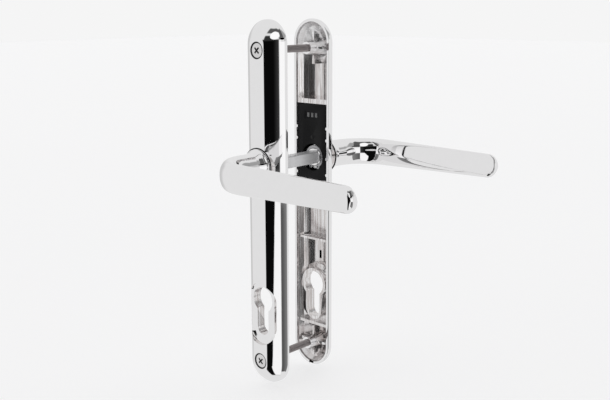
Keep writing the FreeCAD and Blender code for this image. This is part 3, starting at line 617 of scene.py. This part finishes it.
def lever_skin(sizes, count=224):
    """The lever's skin: a superellipse |a|^n + |b|^n = 1 at each row, with the palm side pared flat.

    A point that lies d past the palm's plane moves back onto it along the plane's normal. The
    square root of d squared and a small rounding squared keeps the rim of the flat soft, and the
    paring fades in between the bend and the grip.
    """
    rows = lever_stations(sizes)
    angle = np.linspace(0, 2 * np.pi, count, endpoint=False)
    power = 2 / rows[:, 5:6]
    across = np.sign(np.cos(angle)) * np.abs(np.cos(angle)) ** power * rows[:, 3:4]
    up = np.sign(np.sin(angle)) * np.abs(np.sin(angle)) ** power * rows[:, 4:5]
    heading = rows[:, 2:3]
    x = rows[:, 0:1] - np.cos(heading) * across
    y = rows[:, 1:2] + np.sin(heading) * across
    points = np.stack([x, y, up], -1)
    reach = sizes.reach / MM
    start = np.array([PALM_START, back_of(sizes) + sizes.grip_depth / MM - PALM_DISTANCE, 0.0])
    slope = math.atan2(PALM_FALL, reach - PALM_START)
    tilt = sizes.palm_tilt
    out = np.array(
        [-math.sin(slope) * math.cos(tilt), math.cos(slope) * math.cos(tilt), -math.sin(tilt)]
    )
    past = (points - start) @ out
    near_tip = np.clip((x - reach + TIP_RIM_START) / TIP_RIM_LENGTH, 0, 1)
    soft = PALM_RIM + PALM_TIP_RIM * near_tip**2
    kept = (past + np.sqrt(past**2 + soft**2)) / 2
    fade = np.clip((x - PALM_FADE_START) / PALM_FADE_LENGTH, 0, 1)
    fade = fade * fade * (3 - 2 * fade)
    return points + ((kept - past) * fade)[..., None] * out


def lever_spigot(sizes):
    """The turned end behind the plate, with its two flats, clip groove and square socket."""
    back = back_of(sizes)
    profile = [
        (GROOVE_RADIUS, back + SPIGOT_TIP),
        (SPIGOT_RADIUS, back + SPIGOT_TIP + 0.3),
        (SPIGOT_RADIUS, back + GROOVE_START),
        (GROOVE_RADIUS, back + GROOVE_START),
        (GROOVE_RADIUS, back + GROOVE_STOP),
        (SPIGOT_RADIUS, back + GROOVE_STOP),
        (SPIGOT_RADIUS, back + FLAT_STOP),
        (SPIGOT_RADIUS, back + FLAT_STOP + 0.01),
        (SPIGOT_RADIUS, back + SPIGOT_END),
    ]
    spigot = turned_about_y("spigot", profile, 96)
    start, clear = back + 1.0, 8.0
    for left, right in ((-clear, -FLAT_HALF), (FLAT_HALF, clear)):
        low, high = (left, start, -clear), (right, back + FLAT_STOP, clear)
        cut_by(spigot, square_bar("flat", low, high, bevel=0.0))
    low = (-SOCKET_HALF, start, -SOCKET_HALF)
    high = (SOCKET_HALF, back + SOCKET_STOP, SOCKET_HALF)
    return cut_by(spigot, square_bar("socket", low, high, bevel=0.25))


def bar_along_y(name, outline, low, high):
    """A bar along Y over a closed outline of (x, z) points."""
    outline = np.array(outline, float)
    middle = np.zeros(len(outline))
    rows = [np.column_stack([outline[:, 0], middle + y, outline[:, 1]]) for y in (low, high)]
    return piece_from(name, np.stack(rows))


def square_bar(name, low, high, bevel):
    """A bar along Y between two corners, with its long edges cut by the bevel."""
    outline = [
        (low[0] + bevel, low[2]),
        (high[0] - bevel, low[2]),
        (high[0], low[2] + bevel),
        (high[0], high[2] - bevel),
        (high[0] - bevel, high[2]),
        (low[0] + bevel, high[2]),
        (low[0], high[2] - bevel),
        (low[0], low[2] + bevel),
    ]
    return bar_along_y(name, outline, low[1], high[1])


class HANDLE_OT_levers(bpy.types.Operator):
    """Build the two levers"""

    bl_idname = "handle_set.levers"
    bl_label = "Levers"

    def execute(self, context):
        sizes = context.scene.handle_sizes
        skin = piece_from("skin", lever_skin(sizes))
        outside = smooth(joined("outside_lever_skin", [skin, lever_spigot(sizes)]), 32)
        inside = smooth(mirrored_copy(outside, "inside_lever_skin"), 32)
        for side, lever in (("outside", outside), ("inside", inside)):
            dress(lever, ["bright_chrome"], f"{side}_turning", f"{side}_lever")
        return {"FINISHED"}


# Plates: half widths, depths from the back, and heights on the plate, in millimetres

TOP_DOME, LOW_DOME = 79.0, -137.0
OUTER_RIM, MIDDLE_RIM, INNER_RIM = 16.0, 15.0, 14.0
FACE_HALF, FACE_DEPTH = 6.2, 12.0
FLOOR_HALF, FLOOR_DEPTH = 5.3, 10.0
FLANK_FOOT, EDGE_DEPTH = (14.9, 4.9), 2.4
LIP_DEPTH, WALL_FOOT = 0.7, (9.8, 6.5)
CASSETTE_LOW, CASSETTE_TOP = -25.5, 39.0
CASSETTE_SHOULDER = ((INNER_RIM, 1.4), (13.3, 3.7))
OPEN_SHOULDER = ((13.9, 1.5), (11.5, 5.1))
SCREW_HEIGHTS = (75.5, -135.5)
NECK_HOLE, SCREW_RING = 12.11, 5.61
PAD_RADIUS, PAD_TOP, PAD_LOW = 12.01, -92.0, -111.5
CREASE = 0.25
PROUD = 0.02
ON_SECTION, NEAR_SECTION = 0.012, 0.12


def rounded(corners, radius, count=5):
    """A polyline of (r, depth) corners, with a curve at each inner one.

    The curve is quadratic, touches both sides and begins and ends at the radius from the corner.
    """
    out = [corners[0]]
    for before, corner, after in zip(corners, corners[1:], corners[2:]):
        before, corner, after = (np.array(p, float) for p in (before, corner, after))
        to_before = (before - corner) / np.hypot(*(before - corner))
        to_after = (after - corner) / np.hypot(*(after - corner))
        share = np.linspace(0, 1, count)[:, None]
        start, stop = corner + to_before * radius, corner + to_after * radius
        arc = (1 - share) ** 2 * start + 2 * share * (1 - share) * corner + share**2 * stop
        out += arc.tolist()
    return out + [corners[-1]]


def outside_arcs(flank_count, edge_count):
    """The two arcs of a plate's side, from its face down to its edge: (r, depth) points."""
    flank = arc_rows((FACE_HALF, FACE_DEPTH), FLANK_FOOT, 0.7, flank_count)
    edge = arc_rows(FLANK_FOOT, (OUTER_RIM, EDGE_DEPTH), 0.2, edge_count)
    return flank, edge


def outer_profile():
    """Half section of a plate's outside, from the face to the rim: (r, depth) with soft creases."""
    flank, edge = outside_arcs(26, 8)
    crease = rounded([(FACE_HALF - 0.6, FACE_DEPTH), (FACE_HALF, FACE_DEPTH), flank[2]], CREASE)
    rim = rounded([(OUTER_RIM, EDGE_DEPTH - 0.4), (OUTER_RIM, 0.0), (MIDDLE_RIM, 0.0)], CREASE)
    return crease + flank[3:-1] + edge[:-1] + rim


def inner_profile(shoulder, fillet):
    """Half section of a plate's hollow, from the rim over a shoulder to the middle of its floor."""
    high, low = shoulder
    rim = rounded([(MIDDLE_RIM, 0.0), (INNER_RIM, 0.0), (INNER_RIM, LIP_DEPTH)], CREASE)
    upper = rounded([(INNER_RIM, LIP_DEPTH), high, low], 2 * CREASE)
    lower = rounded([high, low, WALL_FOOT], 2 * CREASE)
    floor = rounded([WALL_FOOT, (FLOOR_HALF, FLOOR_DEPTH), (0.2, FLOOR_DEPTH)], fillet, 21)
    return rim[:-1] + upper[1:-1] + lower[1:-1] + floor[1:]


def moved_out(profile, proud):
    """A section whose points move by a distance, each square to the line between its neighbours."""
    profile = np.array(profile, float)
    along = np.gradient(profile, axis=0)
    along /= np.hypot(along[:, 0], along[:, 1])[:, None]
    return profile + proud * np.column_stack([-along[:, 1], along[:, 0]])


def stadium_points(profile, cassette_profile, sizes):
    """Rings round a plate: each (r, depth) pair is carried round a stadium of radius r.

    A point is (r cos t, back + depth, c + r sin t), with c the upper centre above and the lower
    centre below, and the upright sides are divided so that no face is long. Between the levels of
    the cassette the section is the cassette's.
    """
    dome = np.linspace(0, np.pi, 49)
    side = np.array([70.0, 61.0, 52.0, 46.0, 40.4, 37.8, 30.0, 21.0, 12.0, 3.0, -6.0, -15.0])
    side = np.concatenate([side, [-24.8, -26.2], np.linspace(-34.0, -130.0, 13)])
    angle = np.concatenate([dome, np.full(side.size, np.pi), dome + np.pi, np.zeros(side.size)])
    centre = np.concatenate(
        [np.full(dome.size, TOP_DOME), side, np.full(dome.size, LOW_DOME), side[::-1]]
    )
    cassette = ((centre > CASSETTE_LOW) & (centre < CASSETTE_TOP))[None, :, None]
    plain, other = moved_out(profile, PROUD), moved_out(cassette_profile, PROUD)
    rows = np.where(cassette, other[:, None], plain[:, None])
    r, depth = rows[..., 0], rows[..., 1]
    return np.stack([r * np.cos(angle), back_of(sizes) + depth, centre + r * np.sin(angle)], -1)


def circle(radius, rise, count=96):
    """The points of a circle about (0, rise)."""
    angle = np.linspace(0, 2 * np.pi, count, endpoint=False)
    return np.column_stack([radius * np.cos(angle), rise + radius * np.sin(angle)])


def stadium(radius, top, low, count=48):
    """The points of an upright stadium between two centres."""
    angle = np.linspace(0, np.pi, count)
    upper = np.column_stack([radius * np.cos(angle), top + radius * np.sin(angle)])
    lower = np.column_stack([-radius * np.cos(angle), low - radius * np.sin(angle)])
    return np.vstack([upper, lower])


def box_outline(half, low, high):
    """The corners of an upright box about X = 0."""
    return [(-half, low), (half, low), (half, high), (-half, high)]


def plate_skin(sizes, side):
    """The swept casting of a plate, with its openings cut, a hair proud of the solid it covers."""
    back = back_of(sizes)
    outer = stadium_points(outer_profile(), outer_profile(), sizes)
    open_section = inner_profile(OPEN_SHOULDER, fillet=4.6)
    cassette_section = inner_profile(CASSETTE_SHOULDER, fillet=0.4)
    inner = stadium_points(open_section, cassette_section, sizes)
    skin = piece_from(f"{side}_plate_skin", np.vstack([outer[:-1], inner]))
    under, over = back + 1.0, back + FACE_DEPTH + 2.0
    drain_notch = box_outline(2.0, LOW_DOME - 19.0, LOW_DOME - 13.0)
    floor_slot = box_outline(1.0, -75.0, -69.0)
    cuts = [
        (circle(NECK_HOLE, 0.0), under, over),
        (stadium(PAD_RADIUS, PAD_TOP, PAD_LOW), under, over),
        (drain_notch, back - 1.0, back + 1.2),
        (floor_slot, back + 9.0, back + 10.6),
    ]
    if side == "inside":
        cuts += [(circle(SCREW_RING, rise), back + 11.5, over) for rise in SCREW_HEIGHTS]
    for outline, low, high in cuts:
        cut_by(skin, bar_along_y("opening", outline, low, high))
    return skin


def section_place(points, sizes):
    """Where points lie on a plate's section: distance r from the stadium's middle, and depth."""
    over = np.clip(points[:, 2], LOW_DOME, TOP_DOME)
    r = np.hypot(points[:, 0], points[:, 2] - over)
    return np.column_stack([r, np.abs(points[:, 1]) - back_of(sizes)])


def distance_to_line(places, line):
    """The shortest distance from each place to a polyline."""
    line = np.array(line, float)
    start, step = line[:-1], np.diff(line, axis=0)
    gap = places[:, None, :] - start
    share = np.clip((gap * step).sum(-1) / (step**2).sum(-1), 0, 1)
    return np.sqrt(((gap - share[..., None] * step) ** 2).sum(-1)).min(1)


def without_covered(thing, sizes):
    """The copy of a plate's solid without the faces that lie on the section the skin covers."""
    mesh = thing.data
    corners = np.zeros(len(mesh.vertices) * 3)
    mesh.vertices.foreach_get("co", corners)
    corners = corners.reshape(-1, 3) / MM
    triples = np.zeros(len(mesh.polygons) * 3, np.int32)
    mesh.polygons.foreach_get("vertices", triples)
    triples = triples.reshape(-1, 3)
    places = section_place(corners, sizes)
    middles = section_place(corners[triples].mean(1), sizes)
    flank, edge = outside_arcs(60, 16)
    outside = [(0.0, FACE_DEPTH), *flank, *edge, (OUTER_RIM, 0.0), (INNER_RIM, 0.0)]
    inside = [(OUTER_RIM, 0.0), (INNER_RIM, 0.0), *CASSETTE_SHOULDER]
    inside += [(FLOOR_HALF, FLOOR_DEPTH), (0.0, FLOOR_DEPTH)]
    covered = np.zeros(len(triples), bool)
    for line in (outside, inside):
        on_line = distance_to_line(places, line) < ON_SECTION
        covered |= on_line[triples].all(1) & (distance_to_line(middles, line) < NEAR_SECTION)
    work = bmesh.new()
    work.from_mesh(mesh)
    work.faces.ensure_lookup_table()
    gone = [work.faces[number] for number in np.flatnonzero(covered)]
    bmesh.ops.delete(work, geom=gone, context="FACES")
    work.to_mesh(mesh)
    work.free()
    return thing


class HANDLE_OT_plates(bpy.types.Operator):
    """Build the two plates"""

    bl_idname = "handle_set.plates"
    bl_label = "Plates"

    def execute(self, context):
        sizes = context.scene.handle_sizes
        for side in ("inside", "outside"):
            rest = without_covered(copied_node(f"{side}_plate", f"{side}_plate_rest", 16), sizes)
            skin = plate_skin(sizes, side)
            if side == "inside":
                mirrored(skin.data)
            plate = smooth(joined(f"{side}_plate_casting", [skin, rest]), 18)
            finishes = ["bright_chrome", "plated_casting", "dark_steel_painted_shade"]
            dress(plate, finishes, "plates", f"{side}_plate")
            self.mark_finishes(sizes, plate)
            plate.visible_glossy = side == "outside"
        return {"FINISHED"}

    def mark_finishes(self, sizes, plate):
        """The casting's finish in the hollow, and painted shade, a dark steel, in the rings of the
        screws.
        """
        centre, normal = face_centres(plate.data)
        away = normal[:, 1] * np.sign(centre[:, 1].mean())
        r, depth = section_place(centre, sizes).T
        hollow = (away < 0.2) & (depth > 0.3) & (r < INNER_RIM + 0.3)
        # Painted shade: the floor of the ring round each screw's head takes the dark steel.
        screw = np.where(centre[:, 2] > 0, *SCREW_HEIGHTS)
        ring = np.hypot(centre[:, 0], centre[:, 2] - screw) < SCREW_RING + 0.02
        ring &= (depth > 11.2) & (depth < 11.97)
        mark_faces(plate, np.where(ring, 2, np.where(hollow, 1, 0)))


# Screws, spindle and small parts, in millimetres

HEAD_RADIUS, HEAD_CROWN, HEAD_SUNK = 4.7, 0.45, 0.5
SHANK_RADIUS, SCREW_LENGTH = 2.5, 58.0
THREAD_START, THREAD_DEPTH = 5.0, 0.36
RECESS_HALF_LENGTH, RECESS_HALF_WIDTH = 2.7, 0.62
COVER_DEPTH, COVER_THICKNESS = 1.0, 1.6
COVER_HALF, COVER_LOW, COVER_TOP = 13.3, -24.2, 37.2
HUB_HOLE, PIN_HOLE, PIN_HEIGHT = 9.5, 1.26, 14.2
PANEL_HALF, PANEL_LOW, PANEL_TOP, PANEL_DEPTH = 7.0, 27.0, 32.0, 0.3
RIB_HALF, RIB_LOW, RIB_TOP, RIB_SPACING = 1.0, 28.0, 31.0, 3.6


def head_level(sizes):
    """The Y of the rim of a screw's head, just below the face of the inside plate."""
    return HEAD_SUNK - back_of(sizes) - FACE_DEPTH


def crown_rise(radius):
    """How far the crowned head stands over its rim at a radius."""
    return HEAD_CROWN * (1 - (radius / HEAD_RADIUS) ** 2)


def screw_skin(sizes, rise):
    """A machine screw along Y: crowned countersunk head, and a shank whose radius follows a thread.

    The thread is cut deepest halfway between the crests of a helix that advances one pitch a turn,
    and it runs out over two pitches at the head.
    """
    level = head_level(sizes)
    pitch = sizes.thread_pitch / MM
    tip = level + SCREW_LENGTH
    head = [(r, level - crown_rise(r)) for r in np.linspace(0.001, HEAD_RADIUS - 0.1, 14)]
    head += [(HEAD_RADIUS, level + 0.08), (HEAD_RADIUS, level + 0.35)]
    head += [(4.6, level + 0.48), (3.6, level + 1.46), (2.62, level + 2.42)]
    head += [(SHANK_RADIUS, level + 2.55)]
    shank = np.arange(level + 2.7, tip - 0.6, pitch / 8)
    shank = np.column_stack([np.full(len(shank), SHANK_RADIUS), shank])
    profile = np.vstack([head, shank, [(2.3, tip - 0.3), (1.9, tip)]])
    angle = np.linspace(0, 2 * np.pi, 40, endpoint=False)
    radius = profile[:, :1] + 0 * angle
    along = profile[:, 1:] + 0 * angle
    phase = (along / pitch - angle / (2 * np.pi)) % 1.0
    cut = THREAD_DEPTH * (1 - np.abs(2 * phase - 1))
    threaded = (profile[:, 0] == SHANK_RADIUS) & (profile[:, 1] > level + THREAD_START)
    run_out = np.clip((along - level - THREAD_START) / (2 * pitch), 0, 1)
    radius = radius - cut * run_out * threaded[:, None]
    points = np.stack([radius * np.cos(angle), along, radius * np.sin(angle) + rise], -1)
    return piece_from("screw", points)


def cross_cutter(sizes, rise):
    """The two tapered wings of the driver's recess, which stand at 45 degrees on a driven screw."""
    level = head_level(sizes)
    wings = []
    for turn in (math.pi / 4, -math.pi / 4):
        rows = []
        for depth, share in ((-1.2, 1.15), (2.0, 0.4)):
            a = RECESS_HALF_LENGTH * share
            b = RECESS_HALF_WIDTH * between(0.7, 1.0, share)
            ring = np.array([(-a, -b), (a, -b), (a, b), (-a, b)])
            x = ring[:, 0] * math.cos(turn) - ring[:, 1] * math.sin(turn)
            z = ring[:, 0] * math.sin(turn) + ring[:, 1] * math.cos(turn)
            rows.append(np.column_stack([x, np.full(4, level + depth), rise + z]))
        wings.append(piece_from("wing", np.stack(rows)))
    return wings


class HANDLE_OT_screws(bpy.types.Operator):
    """Build the two fixing screws"""

    bl_idname = "handle_set.screws"
    bl_label = "Screws"

    def execute(self, context):
        sizes = context.scene.handle_sizes
        made = []
        for rise in SCREW_HEIGHTS:
            screw = screw_skin(sizes, rise)
            for wing in cross_cutter(sizes, rise):
                cut_by(screw, wing)
            made.append(screw)
        screws = smooth(joined("fixing_screw_pair", made), 35)
        finishes = ["plated_screw", "screw_shank_painted_shade", "dark_steel_painted_shade"]
        dress(screws, finishes, "plates", "fixing_screws")
        self.mark_finishes(sizes, screws)
        return {"FINISHED"}

    def mark_finishes(self, sizes, screws):
        """Bright heads, duller threads painted darker for the shade in the gap between the plates,
        and painted shade, a dark steel, in the recess below the head's crown.
        """
        centre = face_centres(screws.data)[0]
        rise = np.where(centre[:, 2] > 0, *SCREW_HEIGHTS)
        r = np.hypot(centre[:, 0], centre[:, 2] - rise)
        below = centre[:, 1] - head_level(sizes)
        # The shank takes the darker steel: painted shade of the gap between the plates.
        shank = below > 2.5
        # Painted shade: the driver's recess under the crown takes the dark steel.
        recess = (r < 3.4) & (below > 0.1 - crown_rise(r)) & (below < 2.2) & ~shank
        mark_faces(screws, shank * 1 + recess * 2)


class HANDLE_OT_spindle(bpy.types.Operator):
    """Build the square spindle"""

    bl_idname = "handle_set.spindle"
    bl_label = "Spindle"

    def execute(self, context):
        low, high = (np.array(corner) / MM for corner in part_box("spindle"))
        bar = square_bar("spindle_bar", low + 0.001, high - 0.001, bevel=0.5)
        smooth(edges_rounded(bar, 0.00012, 30), 20)
        dress(bar, ["galvanised_bar"], "inside_turning", "spindle")
        return {"FINISHED"}


def cover_piece(name, sizes):
    """A moulded cover: a slab with rounded corners, its two holes, and a sunk panel with ribs."""
    near = back_of(sizes) + COVER_DEPTH
    corners = box_outline(COVER_HALF, COVER_LOW, COVER_TOP)
    ring = rounded(corners[-1:] + corners + corners[:1], 0.8, 6)[1:-1]
    slab = bar_along_y(name, ring, near, near + COVER_THICKNESS)
    openings = [
        (circle(HUB_HOLE, 0.0), near + 3.0),
        (circle(PIN_HOLE, PIN_HEIGHT, 40), near + 3.0),
        (box_outline(PANEL_HALF, PANEL_LOW, PANEL_TOP), near + PANEL_DEPTH),
    ]
    for outline, high in openings:
        cut_by(slab, bar_along_y("opening", outline, near - 1.0, high))
    ribs = []
    for x in (-RIB_SPACING, 0.0, RIB_SPACING):
        outline = np.array(box_outline(RIB_HALF, RIB_LOW, RIB_TOP)) + (x, 0.0)
        ribs.append(bar_along_y("rib", outline, near + 0.06, near + 0.5))
    cover = joined(name, [slab, *ribs])
    return smooth(edges_rounded(cover, 0.00018, 50), 35)


class HANDLE_OT_covers(bpy.types.Operator):
    """Build the two covers of the cassettes"""

    bl_idname = "handle_set.covers"
    bl_label = "Covers"

    def execute(self, context):
        sizes = context.scene.handle_sizes
        outside = cover_piece("outside_cover_moulding", sizes)
        inside = smooth(mirrored_copy(outside, "inside_cover_moulding"), 35)
        for side, cover in (("outside", outside), ("inside", inside)):
            finishes = ["black_moulding", "scuffed_moulding"]
            dress(cover, finishes, "plates", f"{side}_cover")
            self.mark_ribs(sizes, cover)
        inside.visible_glossy = False
        return {"FINISHED"}

    def mark_ribs(self, sizes, cover):
        """The scuffed tops of the panel's ribs."""
        x, y, z = face_centres(cover.data)[0].T
        depth = np.abs(y) - back_of(sizes) - COVER_DEPTH
        top = (depth > 0.03) & (depth < 0.2) & (z > RIB_LOW - 0.5) & (z < RIB_TOP + 0.5)
        mark_faces(cover, top & (np.abs(x) < RIB_SPACING + RIB_HALF + 0.6))


def root_reflection_ring(sizes, side):
    """A low black ring with a rounded top on the bush, which lies on the plate round the root and
    stands in for the dark reflection round the lever's root.
    """
    section = [(11.8, 0.02), (11.8, 0.4), (11.95, 0.55), (12.2, 0.6), (12.45, 0.55), (12.6, 0.35)]
    section += [(12.6, 0.02), (11.8, 0.02)]
    sign = 1 if side == "outside" else -1
    face = back_of(sizes) + FACE_DEPTH
    profile = [(radius, sign * (face + rise)) for radius, rise in section]
    return turned_about_y(f"{side}_lip", profile, 96, ends=False)


class HANDLE_OT_small_parts(bpy.types.Operator):
    """Dress the cases, hubs, clips, washers, springs, bushes and pins"""

    bl_idname = "handle_set.small_parts"
    bl_label = "Cases and small parts"

    FINISHES = {
        "bush": ("black_moulding", "black_plastic", "plates"),
        "case": ("black_moulding", "black_plastic", "plates"),
        "pin": ("dark_steel_painted_shade", "steel", "plates"),
        "spring": ("spring_wire", "spring_steel", "plates"),
        "hub": ("drawn_steel", "steel", "{}_turning"),
        "washer": ("drawn_steel", "steel", "{}_turning"),
        "circlip": ("spring_wire", "spring_steel", "{}_turning"),
    }

    def execute(self, context):
        for kind, (material, slot, body) in self.FINISHES.items():
            for side in ("inside", "outside"):
                node = f"{side}_{kind}"
                piece = copied_node(node, f"{node}_piece", 28)
                if kind == "bush":
                    # A black ring that stands in for the dark reflection round the lever's root.
                    reflection_ring = root_reflection_ring(context.scene.handle_sizes, side)
                    piece = smooth(joined(f"{node}_with_lip", [piece, reflection_ring]), 28)
                piece.visible_glossy = side == "outside"
                dress(piece, [material], body.format(side), node)
        return {"FINISHED"}


# Materials and stage

ALONG_Y, ALONG_THREAD, EVEN = (1.0, 0.04, 1.0), (1.0, 0.5, 1.0), (1.0, 1.0, 1.0)


class HANDLE_OT_materials(bpy.types.Operator):
    """Make the materials"""

    bl_idname = "handle_set.materials"
    bl_label = "Materials"

    def execute(self, context):
        colours = context.scene.handle_colours
        chrome_material(colours)
        casting_material(colours)
        plastic_material("black_moulding", colours.plastic)
        plastic_material("scuffed_moulding", (0.20, 0.20, 0.20))
        steel_material("drawn_steel", colours.steel, ALONG_Y, (0.24, 0.4))
        steel_material("galvanised_bar", (0.92, 0.92, 0.93), ALONG_Y, (0.3, 0.45), metallic=0.35)
        steel_material("plated_screw", (0.86, 0.85, 0.85), ALONG_THREAD, (0.12, 0.26))
        # The shank's steel is the head's made darker and duller: painted shade of the gap between
        # the plates.
        steel_material("screw_shank_painted_shade", (0.34, 0.31, 0.31), ALONG_THREAD, (0.24, 0.4))
        # A dark steel: painted shade in the rings round the screw heads and in their recesses. The
        # pins are made of it too.
        steel_material("dark_steel_painted_shade", (0.05, 0.05, 0.05), EVEN, (0.4, 0.6))
        steel_material("spring_wire", (0.42, 0.42, 0.43), EVEN, (0.22, 0.34))
        floor_material(colours)
        return {"FINISHED"}


def within(value, low, high, blur):
    """1 between two limits of a value and 0 outside them, with soft edges of twice the blur."""
    above = value.step_over(low - blur, low + blur)
    return above * (1 - value.step_over(high - blur, high + blur))


def laid_over(under, mask, over):
    """The value under, with the value over laid on it where the mask is 1."""
    return under + mask * (over - under)


# The studio's cards: two limits and a blur of the turn, the same of the height, and the brightness
DARK_CARD = (-7, 57, 2.5), (-70, 21, 2.5)
UPPER_CARDS = (
    ((2, 40, 3.0), (16, 37, 3.0), 0.03),
    ((57, 128, 3.0), (19, 64, 3.0), 0.10),
    ((2, 60, 4.0), (46, 66, 3.0), 0.10),
    ((116, 152, 4.0), (22, 49, 4.0), 0.36),
)
BACK_SHADE = (-126, -94, 10), (-24, 14, 8)
WHITE_CARD = (57.5, 122, 0.8), (-11, 19, 1.0)
CARD_SHADE = (62, 140, 6.0), (11, 24, 2.0)
TABLE_SHADE = (57.5, 134, 1.5), (-50, -11.5, 1.0)
LAMP_TURN, LAMP_HALF_TURN = 41, 18
LAMP_HEIGHT, LAMP_HALF_HEIGHT = 37, 16
PALE, BRIGHT, LAMP, BACKDROP = 0.80, 1.02, 1.05, 0.914


def studio_light(maker):
    """How bright the studio is in each direction: pale all round, with cards and lamps in front.

    The direction is given by its turn about Z from the front of the inside plate, in degrees, and
    its height over level. Beside the camera hangs a dark card, with more of them above it. A round
    lamp shines over it: the disc where the squares of the turn and the height from its middle, each
    over its half size, add up to less than 1. A white card stands to its right, and a white table
    reaches in below, with its shade behind it.
    """
    towards = maker.node("ShaderNodeTexCoord", output="Generated")
    x, y, z = parts_of(maker, towards)
    turn = maker.maths("ARCTAN2", x, -y) * (180 / math.pi)
    height = maker.maths("ARCSINE", z) * (180 / math.pi)

    def card(sides, ends):
        """1 inside a card's limits of turn and of height, and 0 outside them."""
        return within(turn, *sides) * within(height, *ends)

    light = PALE - 0.2 * card(*BACK_SHADE)
    light = laid_over(light, card(*DARK_CARD), 0.003 + 0.04 * turn.step_over(36, 60))
    for sides, ends, brightness in UPPER_CARDS:
        light = laid_over(light, card(sides, ends), brightness)
    aside = (turn - LAMP_TURN) / LAMP_HALF_TURN
    over = (height - LAMP_HEIGHT) / LAMP_HALF_HEIGHT
    light = laid_over(light, 1 - (aside * aside + over * over).step_over(0.92, 1.08), LAMP)
    light = laid_over(light, card(*WHITE_CARD), BRIGHT)
    light = light - 0.25 * card(*CARD_SHADE)
    light = laid_over(light, card(*TABLE_SHADE), 0.09 + 0.0019 * (turn - 57))
    top = -11 - 0.83 * maker.maths("MAXIMUM", 40 - turn, 0.0)
    table = (1 - (height - top).step_over(-1.0, 1.0)) * height.step_over(-72, -66)
    return laid_over(light, within(turn, 23, 57.5, 1.0) * table, 1.0)


def studio_world(context):
    """The studio as a world. The camera itself sees only its plain pale backdrop."""
    world = bpy.data.worlds.new("studio")
    context.scene.world = world
    world.use_nodes = True
    world.node_tree.nodes.clear()
    maker = Maker(world.node_tree)
    light = studio_light(maker)
    seen = maker.node("ShaderNodeLightPath", output="Is Camera Ray")
    inputs = {"Color": opaque((1.0, 1.0, 1.0)), "Strength": laid_over(light, seen, BACKDROP)}
    glow = maker.node("ShaderNodeBackground", {}, inputs)
    maker.node("ShaderNodeOutputWorld", {}, {"Surface": glow})


# The floor's half side and its drop below the part, in metres
FLOOR_REACH, FLOOR_DROP = 6.0, 0.002

# The camera's sensor in millimetres, its focal length and frame in pixels, its place in metres, and
# its turn about Z, its height over level and its roll in degrees
SENSOR, FOCAL_PIXELS, FRAME_PIXELS = 36.0, 902.68, 610.0
CAMERA_PLACE = (0.4185, -0.4407, 0.1025)
CAMERA_ANGLES = (42.656, 12.060, -0.133)


class HANDLE_OT_stage(bpy.types.Operator):
    """Set the floor, the studio light and the camera"""

    bl_idname = "handle_set.stage"
    bl_label = "Stage"

    def execute(self, context):
        context.scene.view_settings.view_transform = "Standard"
        studio_world(context)
        self.floor()
        self.camera(context.scene)
        return {"FINISHED"}

    def floor(self):
        """One large square, just below the lowest point of the part."""
        level = START_BOX[0][2] - FLOOR_DROP
        corners = [(x, y, level) for x, y in box_outline(FLOOR_REACH, -FLOOR_REACH, FLOOR_REACH)]
        mesh = bpy.data.meshes.new("floor")
        mesh.from_pydata(corners, [], [(0, 1, 2, 3)])
        mesh.materials.append(bpy.data.materials["pale_floor"])
        floor = placed("floor", mesh)
        floor.visible_glossy = False

    def camera(self, scene):
        """The photograph's view: from the front right of the inside plate, a little above level."""
        lens = bpy.data.cameras.new("camera")
        lens.sensor_width = SENSOR
        lens.lens = SENSOR * FOCAL_PIXELS / FRAME_PIXELS
        lens.clip_start = 0.01
        turn, lift, roll = (math.radians(angle) for angle in CAMERA_ANGLES)
        level = math.cos(lift)
        back = Vector((math.sin(turn) * level, -math.cos(turn) * level, math.sin(lift)))
        right = Vector((math.cos(turn), math.sin(turn), 0.0))
        up = back.cross(right)
        rolled_right = right * math.cos(roll) + up * math.sin(roll)
        rolled_up = up * math.cos(roll) - right * math.sin(roll)
        axes = Matrix((rolled_right, rolled_up, back)).transposed().to_4x4()
        scene.camera = placed("camera", lens)
        scene.camera.matrix_world = Matrix.Translation(CAMERA_PLACE) @ axes


class HANDLE_PT_panel(bpy.types.Panel):
    """The handle set's sizes, colours and steps"""

    bl_idname = "HANDLE_PT_panel"
    bl_label = "Handle set"
    bl_space_type = "VIEW_3D"
    bl_region_type = "UI"
    bl_category = "Handle set"

    def draw(self, context):
        for group in (context.scene.handle_sizes, context.scene.handle_colours):
            for name in group.bl_rna.properties.keys():
                if name not in {"rna_type", "name"}:
                    self.layout.prop(group, name)
        for step in STEPS:
            self.layout.operator(step.bl_idname)


STEPS = (
    HANDLE_OT_materials,
    HANDLE_OT_plates,
    HANDLE_OT_levers,
    HANDLE_OT_screws,
    HANDLE_OT_spindle,
    HANDLE_OT_covers,
    HANDLE_OT_small_parts,
    HANDLE_OT_stage,
)
CLASSES = (HandleSizes, HandleColours, *STEPS, HANDLE_PT_panel)


def register():
    for item in CLASSES:
        bpy.utils.register_class(item)
    bpy.types.Scene.handle_sizes = PointerProperty(type=HandleSizes)
    bpy.types.Scene.handle_colours = PointerProperty(type=HandleColours)


def unregister():
    del bpy.types.Scene.handle_colours
    del bpy.types.Scene.handle_sizes
    for item in reversed(CLASSES):
        bpy.utils.unregister_class(item)


def main():
    register()
    bpy.ops.handle_set.materials()
    bpy.ops.handle_set.plates()
    bpy.ops.handle_set.levers()
    bpy.ops.handle_set.screws()
    bpy.ops.handle_set.spindle()
    bpy.ops.handle_set.covers()
    bpy.ops.handle_set.small_parts()
    bpy.ops.handle_set.stage()


if __name__ == "__main__":
    main()
